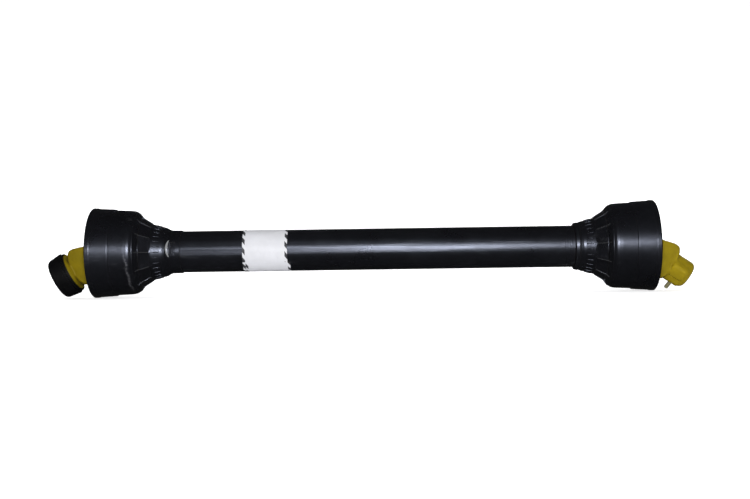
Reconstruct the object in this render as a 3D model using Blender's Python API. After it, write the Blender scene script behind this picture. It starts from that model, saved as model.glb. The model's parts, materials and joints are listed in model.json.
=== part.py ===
"""Cardan drive shaft for a tractor's power take-off, with its plastic guard.

It lies closed on the rims of its two guard bells. X runs along the shaft, Z is up, and the origin is
on the floor under the middle of the whole. Sizes are in metres. Each end is modelled in its own frame:
the origin is the centre of that end's joint, +X points inwards along the shaft and +Z is up. The outer
forks have frames of their own at the same centres, with +X pointing out along the fork's hub.
"""

import math

import bmesh
import bpy
from mathutils import Matrix, Vector

# Whole shaft, closed
JOINT_SPAN = 1.000  # between the two joint centres
TRAVEL = 0.350  # how far the tubes draw apart
GAP = 0.0003  # left between pieces that touch

# How far each outer fork hangs down at rest
COLLAR_BEND = math.radians(27.5)
PIN_BEND = math.radians(33.4)

# Guard bells, measured along the axis from the mouth
MOUTH_OVER = 0.025  # the mouth reaches this far past the joint centre
RIM_R = 0.085
RIM_LENGTH = 0.043
RIM_END_R = 0.0818
DRUM_R = 0.0802
DRUM_LENGTH = 0.081
DRUM_END_R = 0.0786
NECK_ROOT = 0.0935
NECK_ROOT_R = 0.0636
PANEL_COUNT = 12
PANEL_END = 0.112
PANEL_END_R = 0.0530
RIB_START = 0.1165
RIB_START_R = 0.0512
RIB_END = 0.131
RIB_END_R = 0.0472
RIB_COUNT = 36
RIB_HEIGHT = 0.0009
RIB_WIDTH = 0.0018
NECK_END = 0.141
NECK_END_R = 0.0450
BELL_WALL = 0.0024
SLEEVE_END = 0.167
COLLAR_END = 0.149
COLLAR_END_R = 0.0436
WINDOW_START = 0.1455
WINDOW_LENGTH = 0.0125
WINDOW_WIDTH = 0.022
WINDOW_TURN = math.radians(17)

# Guard tubes
OUTER_GUARD_R = 0.0388
OUTER_GUARD_WALL = 0.0025
INNER_GUARD_R = 0.0352
INNER_GUARD_WALL = 0.0024
GUARD_START = 0.100  # from the joint centre

# Wrapped label on the outer guard tube
LABEL_START = 0.256
LABEL_LENGTH = 0.088
LABEL_THICKNESS = 0.0003

# Profile tubes, three-lobed
LOBES = 3
OUTER_TUBE_R = 0.0252
OUTER_TUBE_LOBE = 0.0018
OUTER_TUBE_WALL = 0.0035
INNER_TUBE_WALL = 0.0035
TUBE_CLEARANCE = 0.0004
TUBE_BACKSET = 0.133  # where each tube ends, short of the far joint's centre

# Tube forks, from the joint centre inwards
SOCKET_FLOOR = 0.078
SOCKET_END = 0.125
OUTER_SOCKET_R = 0.0340
INNER_SOCKET_R = 0.0300
GROOVE_START = 0.084
GROOVE_WIDTH = 0.010
GROOVE_DEPTH = 0.003
ROLL_PIN_X = 0.112
ROLL_PIN_R = 0.005
ROLL_PIN_WALL = 0.002

# Cross, cups and clips
CUP_R = 0.0135
CUP_SPAN = 0.0746
CUP_FLOOR = 0.0032
JOURNAL_R = 0.0080
JOURNAL_PLAY = 0.0004
CROSS_BODY_R = 0.0120
CROSS_SHOULDER = 0.0167  # from the centre to where each journal starts
SEAL_LENGTH = 0.0032
CUP_LENGTH = CUP_SPAN / 2 - CROSS_SHOULDER - SEAL_LENGTH - 2 * GAP
CLIP_THICKNESS = 0.0015
CLIP_INNER_R = 0.0106
CLIP_BITE = 0.0009
NIPPLE_ANGLE = math.radians(45)
NIPPLE_SEAT = 0.0205
NIPPLE_R = 0.0032

# Forks, their ears sized by the cups that they hold
EAR_IN = CUP_SPAN / 2 - 0.0123
EAR_OUT = CUP_SPAN / 2 + 0.0037
NOSE_R = EAR_IN - 0.002
CROTCH_R = EAR_OUT + 0.004
CROTCH_FILLET = 0.005
EAR_SWEEP_R = CROTCH_R + 0.0025
NOSE_CHAMFER = 0.0055
FLANK_IN = CUP_R + 0.0035
FLANK_OUT = NOSE_R + 0.0080
FLANK_RISE = 0.0130
FLANK_END = 0.030
SHOULDER_X = CROTCH_R - 0.008
SHOULDER_W = NOSE_R + 0.009
BASE_START = 0.055
BASE_END = 0.0765
BASE_R = 0.0365

# Outer hubs and their six-splined bore
HUB_R = 0.025
HUB_END = 0.107
SPLINE_COUNT = 6
SPLINE_MAJOR_R = 0.0175
SPLINE_MINOR_R = 0.0148
SPLINE_WIDTH = 0.0087

# Quick-release collar
FLANGE_START = 0.0755
FLANGE_END = 0.082
FLANGE_R = 0.0355
COLLAR_START = 0.0823
COLLAR_LENGTH = 0.0287
COLLAR_REAR_R = 0.041
COLLAR_FRONT_R = 0.037
COLLAR_TRAVEL = 0.008
COLLAR_SKIRT = 0.009
COLLAR_WEB_START = 0.0967
COLLAR_WEB_END = 0.1040
COLLAR_POCKET_R = 0.0300
BALL_R = 0.005
BALL_X = 0.1003
BALL_COUNT = 3
RING_WIDTH = 0.0015
RING_R = 0.0285
COLLAR_WIRE_R = 0.0009
COLLAR_TURNS = 2.6

# Push pin, on a line that passes the hub's axis at a distance, leaning towards the front
PIN_X = 0.084
PIN_OFFSET = 0.0206
PIN_LEAN = math.radians(35)
PIN_R = 0.005
PIN_STEM_R = 0.0038
PIN_WAIST_R = 0.0026
PIN_LOCK_LENGTH = 0.007
PIN_WAIST_END = 0.0145
PIN_TIP = 0.0344
PIN_TRAVEL = 0.006
PIN_POCKET_R = 0.0036
PIN_POCKET_DEPTH = 0.005
BOSS_WALL = 0.0032
BOSS_OUT = 0.0195
BOSS_IN = 0.018
BOSS_END = 0.095
BOSS_FADE = 0.104
PLUG_LENGTH = 0.003
PIN_WIRE_R = 0.0005
PIN_TURNS = 5.0

# Facets round a turn
BELL_FACETS = 36
TUBE_FACETS = 36
COLLAR_FACETS = 28
RING_FACETS = 20
LOBE_FACETS = 24
FORK_FACETS = 24
SMALL_FACETS = 12
TINY_FACETS = 8

RIM_IN_R = RIM_R - BELL_WALL
AXIS_HEIGHT = RIM_R * math.cos(math.pi / BELL_FACETS)


def outer_reach():
    """How far each end reaches past its joint centre along the floor: (collar end, pin end)."""
    tip = COLLAR_START + COLLAR_LENGTH
    left = tip * math.cos(COLLAR_BEND) + COLLAR_FRONT_R * math.sin(COLLAR_BEND)
    right = HUB_END * math.cos(PIN_BEND) + HUB_R * math.sin(PIN_BEND)
    return left, right


# Materials

PAINTS = {
    "guard_plastic": ((0.022, 0.024, 0.028), 0.42, 0.0),
    "bearing_nylon": ((0.62, 0.60, 0.52), 0.5, 0.0),
    "label_film": ((0.72, 0.74, 0.72), 0.4, 0.0),
    "yoke_paint": ((0.33, 0.26, 0.035), 0.45, 0.1),
    "collar_plastic": ((0.012, 0.012, 0.014), 0.4, 0.0),
    "tube_steel": ((0.34, 0.33, 0.31), 0.42, 1.0),
    "bearing_steel": ((0.52, 0.52, 0.53), 0.28, 1.0),
    "spring_steel": ((0.30, 0.30, 0.31), 0.38, 1.0),
    "pin_steel": ((0.44, 0.42, 0.30), 0.4, 1.0),
    "seal_rubber": ((0.02, 0.02, 0.02), 0.7, 0.0),
    "nipple_brass": ((0.60, 0.48, 0.22), 0.35, 1.0),
}


def material_for(node, paint):
    """A material of the node's own, with the colour of its kind."""
    colour, roughness, metallic = PAINTS[paint]
    material = bpy.data.materials.new(node)
    material.use_nodes = True
    shader = material.node_tree.nodes["Principled BSDF"]
    shader.inputs["Base Color"].default_value = (*colour, 1.0)
    shader.inputs["Roughness"].default_value = roughness
    shader.inputs["Metallic"].default_value = metallic
    material.diffuse_color = (*colour, 1.0)
    return material


# Building blocks

AXES = {
    "X": Matrix.Identity(3),
    "Y": Matrix(((0, 0, 1), (1, 0, 0), (0, 1, 0))),
    "Z": Matrix(((0, 1, 0), (0, 0, 1), (1, 0, 0))),
}


def object_of(name, bm):
    """An object of the mesh, its faces turned outwards."""
    bmesh.ops.remove_doubles(bm, verts=bm.verts, dist=1e-6)
    bmesh.ops.recalc_face_normals(bm, faces=bm.faces)
    mesh = bpy.data.meshes.new(name)
    bm.to_mesh(mesh)
    bm.free()
    made = bpy.data.objects.new(name, mesh)
    bpy.context.scene.collection.objects.link(made)
    return made


def turned(name, profile, facets, axis="X", start=None, sweep=math.tau):
    """A closed (along, radius) profile turned about an axis through the origin.

    A whole turn starts half a facet off +Z, so that a flat lies at the bottom. A shorter sweep is
    closed with a face at each end.
    """
    whole = sweep >= math.tau - 1e-9
    step = sweep / facets
    start = step / 2 if start is None else start
    bm = bmesh.new()
    rings = []
    for i in range(facets if whole else facets + 1):
        angle = start + i * step
        rings.append([
            bm.verts.new(AXES[axis] @ Vector((x, -r * math.sin(angle), r * math.cos(angle))))
            for x, r in profile
        ])
    for i in range(facets):
        ring, following = rings[i], rings[(i + 1) % len(rings)]
        for a in range(len(profile)):
            b = (a + 1) % len(profile)
            if profile[a][1] < 1e-9 and profile[b][1] < 1e-9:
                continue
            corners = [ring[a], ring[b], following[b], following[a]]
            if profile[a][1] < 1e-9:
                corners.pop()
            elif profile[b][1] < 1e-9:
                corners.pop(2)
            bm.faces.new(corners)
    if not whole:
        bm.faces.new(rings[0])
        bm.faces.new(rings[-1])
    return object_of(name, bm)


def split_ring(name, profile, facets, missing, axis="X"):
    """A ring with an opening, its facets in step with those of a whole turn."""
    step = math.tau / facets
    return turned(name, profile, facets - missing, axis, step / 2, math.tau - missing * step)


def prism(name, outline, low, high, axis="X"):
    """A closed outline in the plane across the axis, extruded from low to high along it."""
    bm = bmesh.new()
    face = bm.faces.new([bm.verts.new(AXES[axis] @ Vector((low, u, v))) for u, v in outline])
    made = bmesh.ops.extrude_face_region(bm, geom=[face], use_keep_orig=True)
    moved = [v for v in made["geom"] if isinstance(v, bmesh.types.BMVert)]
    bmesh.ops.translate(bm, verts=moved, vec=AXES[axis] @ Vector((high - low, 0, 0)))
    return object_of(name, bm)


def combine(kept, other, operation):
    """Cuts, joins or intersects the first object with the second, which is used up."""
    modifier = kept.modifiers.new(operation, "BOOLEAN")
    modifier.operation = operation
    modifier.object = other
    modifier.solver = "EXACT"
    graph = bpy.context.evaluated_depsgraph_get()
    made = bpy.data.meshes.new_from_object(kept.evaluated_get(graph))
    kept.modifiers.clear()
    kept.data = made
    kept.data.name = kept.name
    bpy.data.objects.remove(other)
    return kept


def place(node, paint, parent, location=(0, 0, 0), rotation=(0, 0, 0), smooth=35):
    """Gives the object its material, shading and place in its parent's frame."""
    node.data.materials.clear()
    node.data.materials.append(material_for(node.name, paint))
    if smooth and node.type == "MESH":
        node.data.shade_smooth()
        node.data.set_sharp_from_angle(angle=math.radians(smooth))
    node.parent = parent
    node.location = location
    node.rotation_euler = rotation
    return node


def frame(name, parent, location=(0, 0, 0), rotation=(0, 0, 0)):
    empty = bpy.data.objects.new(name, None)
    empty.empty_display_size = 0.03
    bpy.context.scene.collection.objects.link(empty)
    empty.parent = parent
    empty.location = location
    empty.rotation_euler = rotation
    return empty


def rolled(made, angle):
    """Turns the mesh itself about X."""
    made.data.transform(Matrix.Rotation(angle, 4, "X"))
    return made


# Guard

def drum_outer():
    """The outside of a bell from its mouth to the root of its neck, as (from mouth, radius)."""
    return [
        (0.0, RIM_R - 0.0012), (0.0014, RIM_R), (RIM_LENGTH, RIM_END_R),
        (RIM_LENGTH + 0.0015, DRUM_R), (DRUM_LENGTH, DRUM_END_R),
        (DRUM_LENGTH + 0.0035, DRUM_END_R - 0.0025), (DRUM_LENGTH + 0.0065, DRUM_END_R - 0.0061),
        (NECK_ROOT - 0.0012, NECK_ROOT_R + 0.0020), (NECK_ROOT - 0.0002, NECK_ROOT_R - 0.0012),
    ]


def neck_outer():
    """The outside of the neck: the panelled cone, the ribbed band and the smooth band."""
    return [
        (NECK_ROOT + 0.0010, NECK_ROOT_R), (PANEL_END, PANEL_END_R),
        (RIB_START, RIB_START_R), (RIB_END, RIB_END_R), (NECK_END, NECK_END_R),
    ]


def drum_inner():
    """The inside of the bell, from the neck back to the mouth."""
    drum_r = DRUM_END_R - BELL_WALL
    return [
        *reversed(neck_inner()), (DRUM_LENGTH + 0.0020, drum_r - 0.0027),
        (DRUM_LENGTH - 0.0015, drum_r), (RIM_LENGTH, DRUM_R - BELL_WALL), (0.0, RIM_IN_R),
    ]


def neck_inner():
    """The inside of the neck, from its root to the end of the ribs. The panels' flats need the room."""
    return [
        (NECK_ROOT - 0.0015, NECK_ROOT_R - 0.0040), (PANEL_END, PANEL_END_R - BELL_WALL - 0.0008),
        (RIB_START, RIB_START_R - BELL_WALL), (RIB_END, RIB_END_R - BELL_WALL),
    ]


def neck_inner_r(from_mouth):
    """The neck's inner radius at a distance from the mouth."""
    points = neck_inner()
    for (x0, r0), (x1, r1) in zip(points, points[1:]):
        if x0 <= from_mouth <= x1:
            return r0 + (r1 - r0) * (from_mouth - x0) / (x1 - x0)
    raise ValueError("the bearing has to sit in the neck")


def flatten_panels(bell):
    """Presses flats into the cone between its root and the ribbed band, and leaves edges between."""
    span = math.tau / PANEL_COUNT
    low = NECK_ROOT + 0.0008 - MOUTH_OVER
    high = PANEL_END + 0.0005 - MOUTH_OVER
    for vertex in bell.data.vertices:
        radius = math.hypot(vertex.co.y, vertex.co.z)
        if not low < vertex.co.x < high or radius < PANEL_END_R - 0.0005:
            continue
        angle = math.atan2(vertex.co.y, vertex.co.z) % span - span / 2
        pressed = math.cos(span / 2) / math.cos(angle)
        vertex.co.y *= pressed
        vertex.co.z *= pressed


def band_ribs(count):
    """The short ribs round the neck as one object: a toothed ring, its teeth running along X."""
    slope = (RIB_END_R - RIB_START_R) / (RIB_END - RIB_START)
    low, high = RIB_START + 0.0015, RIB_END - 0.0010
    bm = bmesh.new()
    for i in range(count):
        turn = Matrix.Rotation(math.tau * i / count, 4, "X")
        corners = []
        for x, side in ((low, 1), (high, 1), (high, -1), (low, -1)):
            surface = RIB_START_R + slope * (x - RIB_START)
            for lift in (-0.0014, RIB_HEIGHT):
                point = Vector((x - MOUTH_OVER, side * RIB_WIDTH / 2, surface + lift))
                corners.append(bm.verts.new(turn @ point))
        for quad in ((0, 2, 4, 6), (1, 7, 5, 3), (0, 1, 3, 2), (2, 3, 5, 4), (4, 5, 7, 6), (6, 7, 1, 0)):
            bm.faces.new([corners[k] for k in quad])
    return object_of("ribs", bm)


def bell(name, tail):
    """A guard bell: drum, panelled and ribbed neck, and the tail that its guard tube needs."""
    profile = drum_outer() + neck_outer() + tail + drum_inner()
    made = turned(name, [(x - MOUTH_OVER, r) for x, r in profile], BELL_FACETS)
    flatten_panels(made)
    return combine(made, band_ribs(RIB_COUNT), "UNION")


def sleeve_tail():
    """The collar-end bell closes onto the outer guard tube in a thin sleeve."""
    inner = OUTER_GUARD_R + GAP
    outer = inner + 0.0018
    return [
        (NECK_END + 0.0060, outer + 0.0006), (NECK_END + 0.0075, outer), (SLEEVE_END, outer),
        (SLEEVE_END, inner), (NECK_END + 0.0050, inner), (NECK_END - 0.0010, NECK_END_R - BELL_WALL),
    ]


def collar_tail():
    """The pin-end bell ends in a collar that closes inwards onto the inner guard tube."""
    inner = INNER_GUARD_R + GAP
    return [
        (COLLAR_END - 0.0010, COLLAR_END_R), (COLLAR_END, COLLAR_END_R - 0.0010),
        (COLLAR_END, inner), (COLLAR_END - BELL_WALL, inner),
        (COLLAR_END - BELL_WALL, COLLAR_END_R - BELL_WALL), (NECK_END, NECK_END_R - BELL_WALL),
    ]


def make_left_bell(end):
    made = bell("left_bell", sleeve_tail())
    start = WINDOW_START - MOUTH_OVER
    window = prism(
        "window",
        [(-OUTER_GUARD_R - 0.01, -WINDOW_WIDTH / 2), (-OUTER_GUARD_R + 0.006, -WINDOW_WIDTH / 2),
         (-OUTER_GUARD_R + 0.006, WINDOW_WIDTH / 2), (-OUTER_GUARD_R - 0.01, WINDOW_WIDTH / 2)],
        start, start + WINDOW_LENGTH,
    )
    combine(made, rolled(window, -WINDOW_TURN), "DIFFERENCE")
    place(made, "guard_plastic", end)


def make_guard_tubes(left, right):
    collar_face = COLLAR_END - MOUTH_OVER
    outer_end = JOINT_SPAN - collar_face - 0.0005
    inner_r = OUTER_GUARD_R - OUTER_GUARD_WALL
    place(
        turned("outer_guard_tube", [
            (GUARD_START, OUTER_GUARD_R), (outer_end, OUTER_GUARD_R),
            (outer_end, inner_r), (GUARD_START, inner_r),
        ], TUBE_FACETS),
        "guard_plastic", left,
    )
    inner_end = JOINT_SPAN - TUBE_BACKSET
    inner_r = INNER_GUARD_R - INNER_GUARD_WALL
    place(
        turned("inner_guard_tube", [
            (GUARD_START, INNER_GUARD_R), (inner_end, INNER_GUARD_R),
            (inner_end, inner_r), (GUARD_START, inner_r),
        ], TUBE_FACETS),
        "guard_plastic", right,
    )


def make_guard_bearing(name, end, socket_r, guard_inner_r):
    """A nylon ring: its lip runs in the fork's groove, its rim seats in the neck, and a spigot carries
    the guard tube."""
    low = GROOVE_START + GAP
    high = GROOVE_START + GROOVE_WIDTH - GAP
    lip = socket_r - GROOVE_DEPTH + 0.0006
    panel_end, rib_start = PANEL_END - MOUTH_OVER, RIB_START - MOUTH_OVER

    def seat(x):
        return neck_inner_r(x + MOUTH_OVER) - GAP

    spigot_r = guard_inner_r - GAP
    bore = spigot_r - 0.0014
    web = high - 0.003
    place(
        turned(name, [
            (low, lip), (low, socket_r + 0.0030), (web, socket_r + 0.0030), (web, seat(web) - 0.0040),
            (low, seat(low) - 0.0040), (low, seat(low)), (panel_end, seat(panel_end)),
            (rib_start, seat(rib_start)), (high, seat(high)), (high, spigot_r),
            (GUARD_START + 0.010, spigot_r), (GUARD_START + 0.010, bore), (high, bore), (high, lip),
        ], RING_FACETS),
        "bearing_nylon", end,
    )


def make_label(left):
    inner = OUTER_GUARD_R + GAP
    outer = inner + LABEL_THICKNESS
    place(
        turned("tube_label", [
            (LABEL_START, outer), (LABEL_START + LABEL_LENGTH, outer),
            (LABEL_START + LABEL_LENGTH, inner), (LABEL_START, inner),
        ], TUBE_FACETS),
        "label_film", left,
    )


# Profile tubes

def lobed(radius, lobe):
    """A three-lobed outline in the plane across the shaft."""
    points = []
    for i in range(LOBE_FACETS):
        angle = math.tau * i / LOBE_FACETS
        r = radius + lobe * math.cos(LOBES * angle)
        points.append((r * math.sin(angle), r * math.cos(angle)))
    return points


def inner_tube_r():
    return OUTER_TUBE_R - OUTER_TUBE_WALL - TUBE_CLEARANCE


def roll_pin_hole():
    return turned("hole", [
        (-0.05, 0), (-0.05, ROLL_PIN_R + GAP), (0.05, ROLL_PIN_R + GAP), (0.05, 0),
    ], SMALL_FACETS, "Y")


def make_profile_tube(name, end, radius, wall):
    low, high = SOCKET_FLOOR + GAP, JOINT_SPAN - TUBE_BACKSET
    made = prism(name, lobed(radius, OUTER_TUBE_LOBE), low, high)
    bore = prism("bore", lobed(radius - wall, OUTER_TUBE_LOBE), low - 0.01, high + 0.01)
    combine(made, bore, "DIFFERENCE")
    hole = roll_pin_hole()
    hole.location.x = ROLL_PIN_X
    combine(made, hole, "DIFFERENCE")
    place(made, "tube_steel", end)


def make_roll_pin(name, end, socket_r):
    half = socket_r - 0.0006
    place(
        turned(name, [
            (half, ROLL_PIN_R), (half, ROLL_PIN_R - ROLL_PIN_WALL),
            (-half, ROLL_PIN_R - ROLL_PIN_WALL), (-half, ROLL_PIN_R),
        ], SMALL_FACETS, "Y"),
        "spring_steel", end, (ROLL_PIN_X, 0, 0),
    )


# Forks. Each is made with its ears along Z, then the outer two are rolled a quarter turn.

def face_outline():
    """The fork seen along its ears, as (across, along): a round nose, shoulders, and room for the base."""
    half = []
    for i in range(6):
        angle = math.radians(180 - i * 16)
        half.append((NOSE_R * math.cos(angle), NOSE_R * math.sin(angle)))
    half += [
        (0.016, NOSE_R + 0.0022), (SHOULDER_X - 0.008, NOSE_R + 0.0068), (SHOULDER_X, SHOULDER_W),
        (SHOULDER_X + 0.009, SHOULDER_W + 0.0032), (BASE_START, BASE_R + 0.0002),
        (BASE_START + 0.0002, BASE_R + 0.02), (0.20, BASE_R + 0.02),
    ]
    lower = [(x, -w) for x, w in reversed(half[1:])]
    return half + lower


def slot_cutter():
    """The room between the ears: a disc about the ears' own axis, with filleted rims."""
    narrow = CROTCH_R - CROTCH_FILLET
    flat = EAR_IN - CROTCH_FILLET
    return turned("slot", [
        (-EAR_IN, 0), (-EAR_IN, narrow), (-flat, CROTCH_R), (flat, CROTCH_R), (EAR_IN, narrow), (EAR_IN, 0),
    ], FORK_FACETS, "Z")


def cup_bore_cutter():
    """Both ears' bores, with the grooves for the clips."""
    wall = CUP_R + GAP
    low, high = CUP_SPAN / 2 + 0.0001, CUP_SPAN / 2 + CLIP_THICKNESS + 3 * GAP
    deep = wall + CLIP_BITE + GAP
    end = EAR_SWEEP_R + 0.0025
    half = [(end, wall), (high, wall), (high, deep), (low, deep), (low, wall)]
    return turned("bores", [(end, 0)] + half + [(-x, r) for x, r in reversed(half)] + [(-end, 0)],
                  SMALL_FACETS, "Z")


def nose_cutter(side):
    """Chamfers the round end of one ear, so that it clears the other fork."""
    flat = EAR_OUT + 0.001
    profile = [
        (side * flat, CUP_R - 0.0005), (side * flat, NOSE_R + 0.002),
        (side * (EAR_OUT - NOSE_CHAMFER), NOSE_R + 0.002),
    ]
    return turned("nose", profile, 6, "Z", start=0.0, sweep=math.pi)


def flank_cutter(side):
    """Relieves the inner edges of both ears on one flank, where the other fork's ear comes by."""
    low, high = EAR_IN, EAR_IN + FLANK_RISE
    outline = [
        (side * FLANK_IN, -low), (side * FLANK_OUT, -high), (side * FLANK_OUT, high), (side * FLANK_IN, low),
    ]
    return prism("flank", outline, -0.03, FLANK_END)


def fork(name, back):
    """A forged fork: a turned blank cut to its face outline, slotted and bored, with a turned back."""
    made = turned(name, [
        (-0.03, 0), (-0.03, EAR_SWEEP_R), (SHOULDER_X, EAR_SWEEP_R), (SHOULDER_X + 0.010, EAR_OUT + 0.0015),
        (BASE_START, BASE_R), *back,
    ], FORK_FACETS)
    outline = prism("outline", face_outline(), -EAR_OUT, EAR_OUT, "Z")
    combine(made, outline, "INTERSECT")
    combine(made, slot_cutter(), "DIFFERENCE")
    combine(made, cup_bore_cutter(), "DIFFERENCE")
    for side in (-1, 1):
        combine(made, nose_cutter(side), "DIFFERENCE")
        combine(made, flank_cutter(side), "DIFFERENCE")
    return made


def make_tube_fork(name, end, socket_r, tube_r):
    """The fork welded-up shape that carries a profile tube: base, bearing groove and lobed socket."""
    floor_r = socket_r - GROOVE_DEPTH
    groove_end = GROOVE_START + GROOVE_WIDTH
    made = fork(name, [
        (BASE_END - 0.004, BASE_R), (BASE_END, BASE_R - 0.0035), (BASE_END + 0.0005, socket_r + 0.001),
        (GROOVE_START, socket_r), (GROOVE_START, floor_r),
        (groove_end, floor_r), (groove_end, socket_r), (SOCKET_END, socket_r), (SOCKET_END, 0),
    ])
    socket = prism("socket", lobed(tube_r + GAP, OUTER_TUBE_LOBE), SOCKET_FLOOR, SOCKET_END + 0.01)
    combine(made, socket, "DIFFERENCE")
    hole = roll_pin_hole()
    hole.location.x = ROLL_PIN_X
    combine(made, hole, "DIFFERENCE")
    place(made, "yoke_paint", end)


def spline_outline():
    """The six-splined bore across its axis."""
    half_major = math.asin(SPLINE_WIDTH / 2 / SPLINE_MAJOR_R)
    half_minor = math.asin(SPLINE_WIDTH / 2 / SPLINE_MINOR_R)
    pitch = math.tau / SPLINE_COUNT
    points = []
    for i in range(SPLINE_COUNT):
        middle = i * pitch
        for angle, radius in (
            (middle - half_minor, SPLINE_MINOR_R), (middle - half_major, SPLINE_MAJOR_R),
            (middle, SPLINE_MAJOR_R), (middle + half_major, SPLINE_MAJOR_R),
            (middle + half_minor, SPLINE_MINOR_R), (middle + pitch / 2, SPLINE_MINOR_R),
        ):
            points.append((radius * math.sin(angle), radius * math.cos(angle)))
    return points


def cut_splines(made):
    bore = prism("splines", spline_outline(), 0.0, HUB_END + 0.01)
    return combine(made, bore, "DIFFERENCE")


def make_collar_yoke(swing):
    """The fork with the quick-release hub: a flange for the collar, and holes for the locking balls."""
    made = fork("collar_yoke", [
        (BASE_END - 0.0065, BASE_R), (BASE_END - 0.0040, BASE_R - 0.0035),
        (FLANGE_START - 0.0015, FLANGE_R - 0.0030), (FLANGE_START, FLANGE_R), (FLANGE_END, FLANGE_R),
        (FLANGE_END, HUB_R), (COLLAR_WEB_END + GAP, HUB_R), (COLLAR_WEB_END + GAP, HUB_R - 0.0015),
        (COLLAR_WEB_END + 3 * GAP + RING_WIDTH, HUB_R - 0.0015),
        (COLLAR_WEB_END + 3 * GAP + RING_WIDTH, HUB_R), (HUB_END - 0.0005, HUB_R),
        (HUB_END, HUB_R - 0.0005), (HUB_END, 0),
    ])
    rolled(made, math.pi / 2)
    cut_splines(made)
    for i in range(BALL_COUNT):
        hole = turned("hole", [
            (SPLINE_MINOR_R - 0.004, 0), (SPLINE_MINOR_R - 0.004, BALL_R + GAP),
            (HUB_R + 0.01, BALL_R + GAP), (HUB_R + 0.01, 0),
        ], TINY_FACETS + 2, "Z")
        hole.rotation_euler.x = ball_angle(i)
        hole.location.x = BALL_X
        combine(made, hole, "DIFFERENCE")
    place(made, "yoke_paint", swing)


def ball_angle(i):
    return math.tau * i / BALL_COUNT


def make_pull_collar(swing):
    """The black sleeve: a skirt over the flange, a web that holds the balls down, and a pocket."""
    start, end = COLLAR_START, COLLAR_START + COLLAR_LENGTH
    skirt_r = FLANGE_R + 0.0009
    made = turned("pull_collar", [
        (start, COLLAR_REAR_R - 0.0010), (start + 0.0012, COLLAR_REAR_R),
        (start + 0.013, COLLAR_REAR_R - 0.0007), (end - 0.0015, COLLAR_FRONT_R),
        (end, COLLAR_FRONT_R - 0.0015), (end, COLLAR_POCKET_R), (COLLAR_WEB_END, COLLAR_POCKET_R),
        (COLLAR_WEB_END, HUB_R + GAP), (COLLAR_WEB_START, HUB_R + GAP),
        (COLLAR_WEB_START, COLLAR_POCKET_R + 0.0025), (start + COLLAR_SKIRT, COLLAR_POCKET_R + 0.0025),
        (start + COLLAR_SKIRT, skirt_r), (start, skirt_r),
    ], COLLAR_FACETS)
    notch = prism("notch", [(-0.0035, -0.05), (0.0035, -0.05), (0.0, -COLLAR_REAR_R + 0.0025)],
                  start - 0.002, start + 0.004)
    notch.rotation_euler.x = math.radians(-55)
    combine(made, notch, "DIFFERENCE")
    place(made, "collar_plastic", swing)


def coil(name, low, high, turns, coil_r, wire_r, points_per_turn):
    """A wire coil along X, as a curve with a round bevel."""
    curve = bpy.data.curves.new(name, "CURVE")
    curve.dimensions = "3D"
    curve.bevel_depth = wire_r
    curve.bevel_resolution = 0
    curve.use_fill_caps = True
    spline = curve.splines.new("POLY")
    count = int(round(turns * points_per_turn))
    spline.points.add(count)
    for i, point in enumerate(spline.points):
        share = i / count
        angle = math.tau * turns * share
        point.co = (low + (high - low) * share, coil_r * math.sin(angle), coil_r * math.cos(angle), 1)
    made = bpy.data.objects.new(name, curve)
    bpy.context.scene.collection.objects.link(made)
    return made


def make_collar_inside(swing):
    """The spring behind the collar's web, the balls it holds down, and the ring that stops it."""
    room = COLLAR_WIRE_R + GAP
    spring = coil("collar_spring", FLANGE_END + room, COLLAR_WEB_START - room, COLLAR_TURNS,
                  (HUB_R + COLLAR_POCKET_R + 0.0025) / 2, COLLAR_WIRE_R, 13)
    place(spring, "spring_steel", swing)
    for i in range(BALL_COUNT):
        bm = bmesh.new()
        bmesh.ops.create_uvsphere(bm, u_segments=8, v_segments=6, radius=BALL_R)
        out = HUB_R - 0.0001 - BALL_R
        angle = ball_angle(i)
        place(object_of(f"lock_ball_{i + 1}", bm), "bearing_steel", swing,
              (BALL_X, -out * math.sin(angle), out * math.cos(angle)))
    low = COLLAR_WEB_END + 2 * GAP
    ring = split_ring("collar_retaining_ring", [
        (low, HUB_R - 0.0012), (low, RING_R), (low + RING_WIDTH, RING_R), (low + RING_WIDTH, HUB_R - 0.0012),
    ], FORK_FACETS, 3)
    place(ring, "spring_steel", swing)


# Push-pin yoke. The pin's line is turned about X from a line on the front of the hub that runs down.

def pin_frame():
    """Turns a mesh made about Z, at the pin's line on the -Y side, into its place on the hub."""
    lean = Matrix.Rotation(PIN_LEAN, 4, "X")
    return Matrix.Translation((PIN_X, 0, 0)) @ lean @ Matrix.Translation((0, -PIN_OFFSET, 0))


def on_pin_line(name, profile, facets):
    """A turned piece on the pin's line, its profile given as (out of the boss, radius)."""
    made = turned(name, [(-s, r) for s, r in profile], facets, "Z")
    made.data.transform(pin_frame())
    made.data.update()
    return made


def boss_outline(share):
    """The boss across the hub's axis, drawn in to the hub by the share that is left of it."""
    half = PIN_R + GAP + BOSS_WALL
    far = -(PIN_OFFSET + half)
    near = -SPLINE_MAJOR_R - 0.002
    corners = [
        (near, BOSS_IN), (far + 0.004, BOSS_IN), (far + 0.001, BOSS_IN - 0.0015), (far, BOSS_IN - 0.005),
        (far, -BOSS_OUT + 0.008), (far + 0.0020, -BOSS_OUT + 0.003), (far + 0.0060, -BOSS_OUT),
        (near + 0.004, -BOSS_OUT), (near + 0.008, -BOSS_OUT + 0.006), (near + 0.006, 0.0),
    ]
    lean = Matrix.Rotation(PIN_LEAN, 3, "X")
    turned_corners = [lean @ Vector((0, y * share, z * share)) for y, z in corners]
    return [(p.y, p.z) for p in turned_corners]


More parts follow.
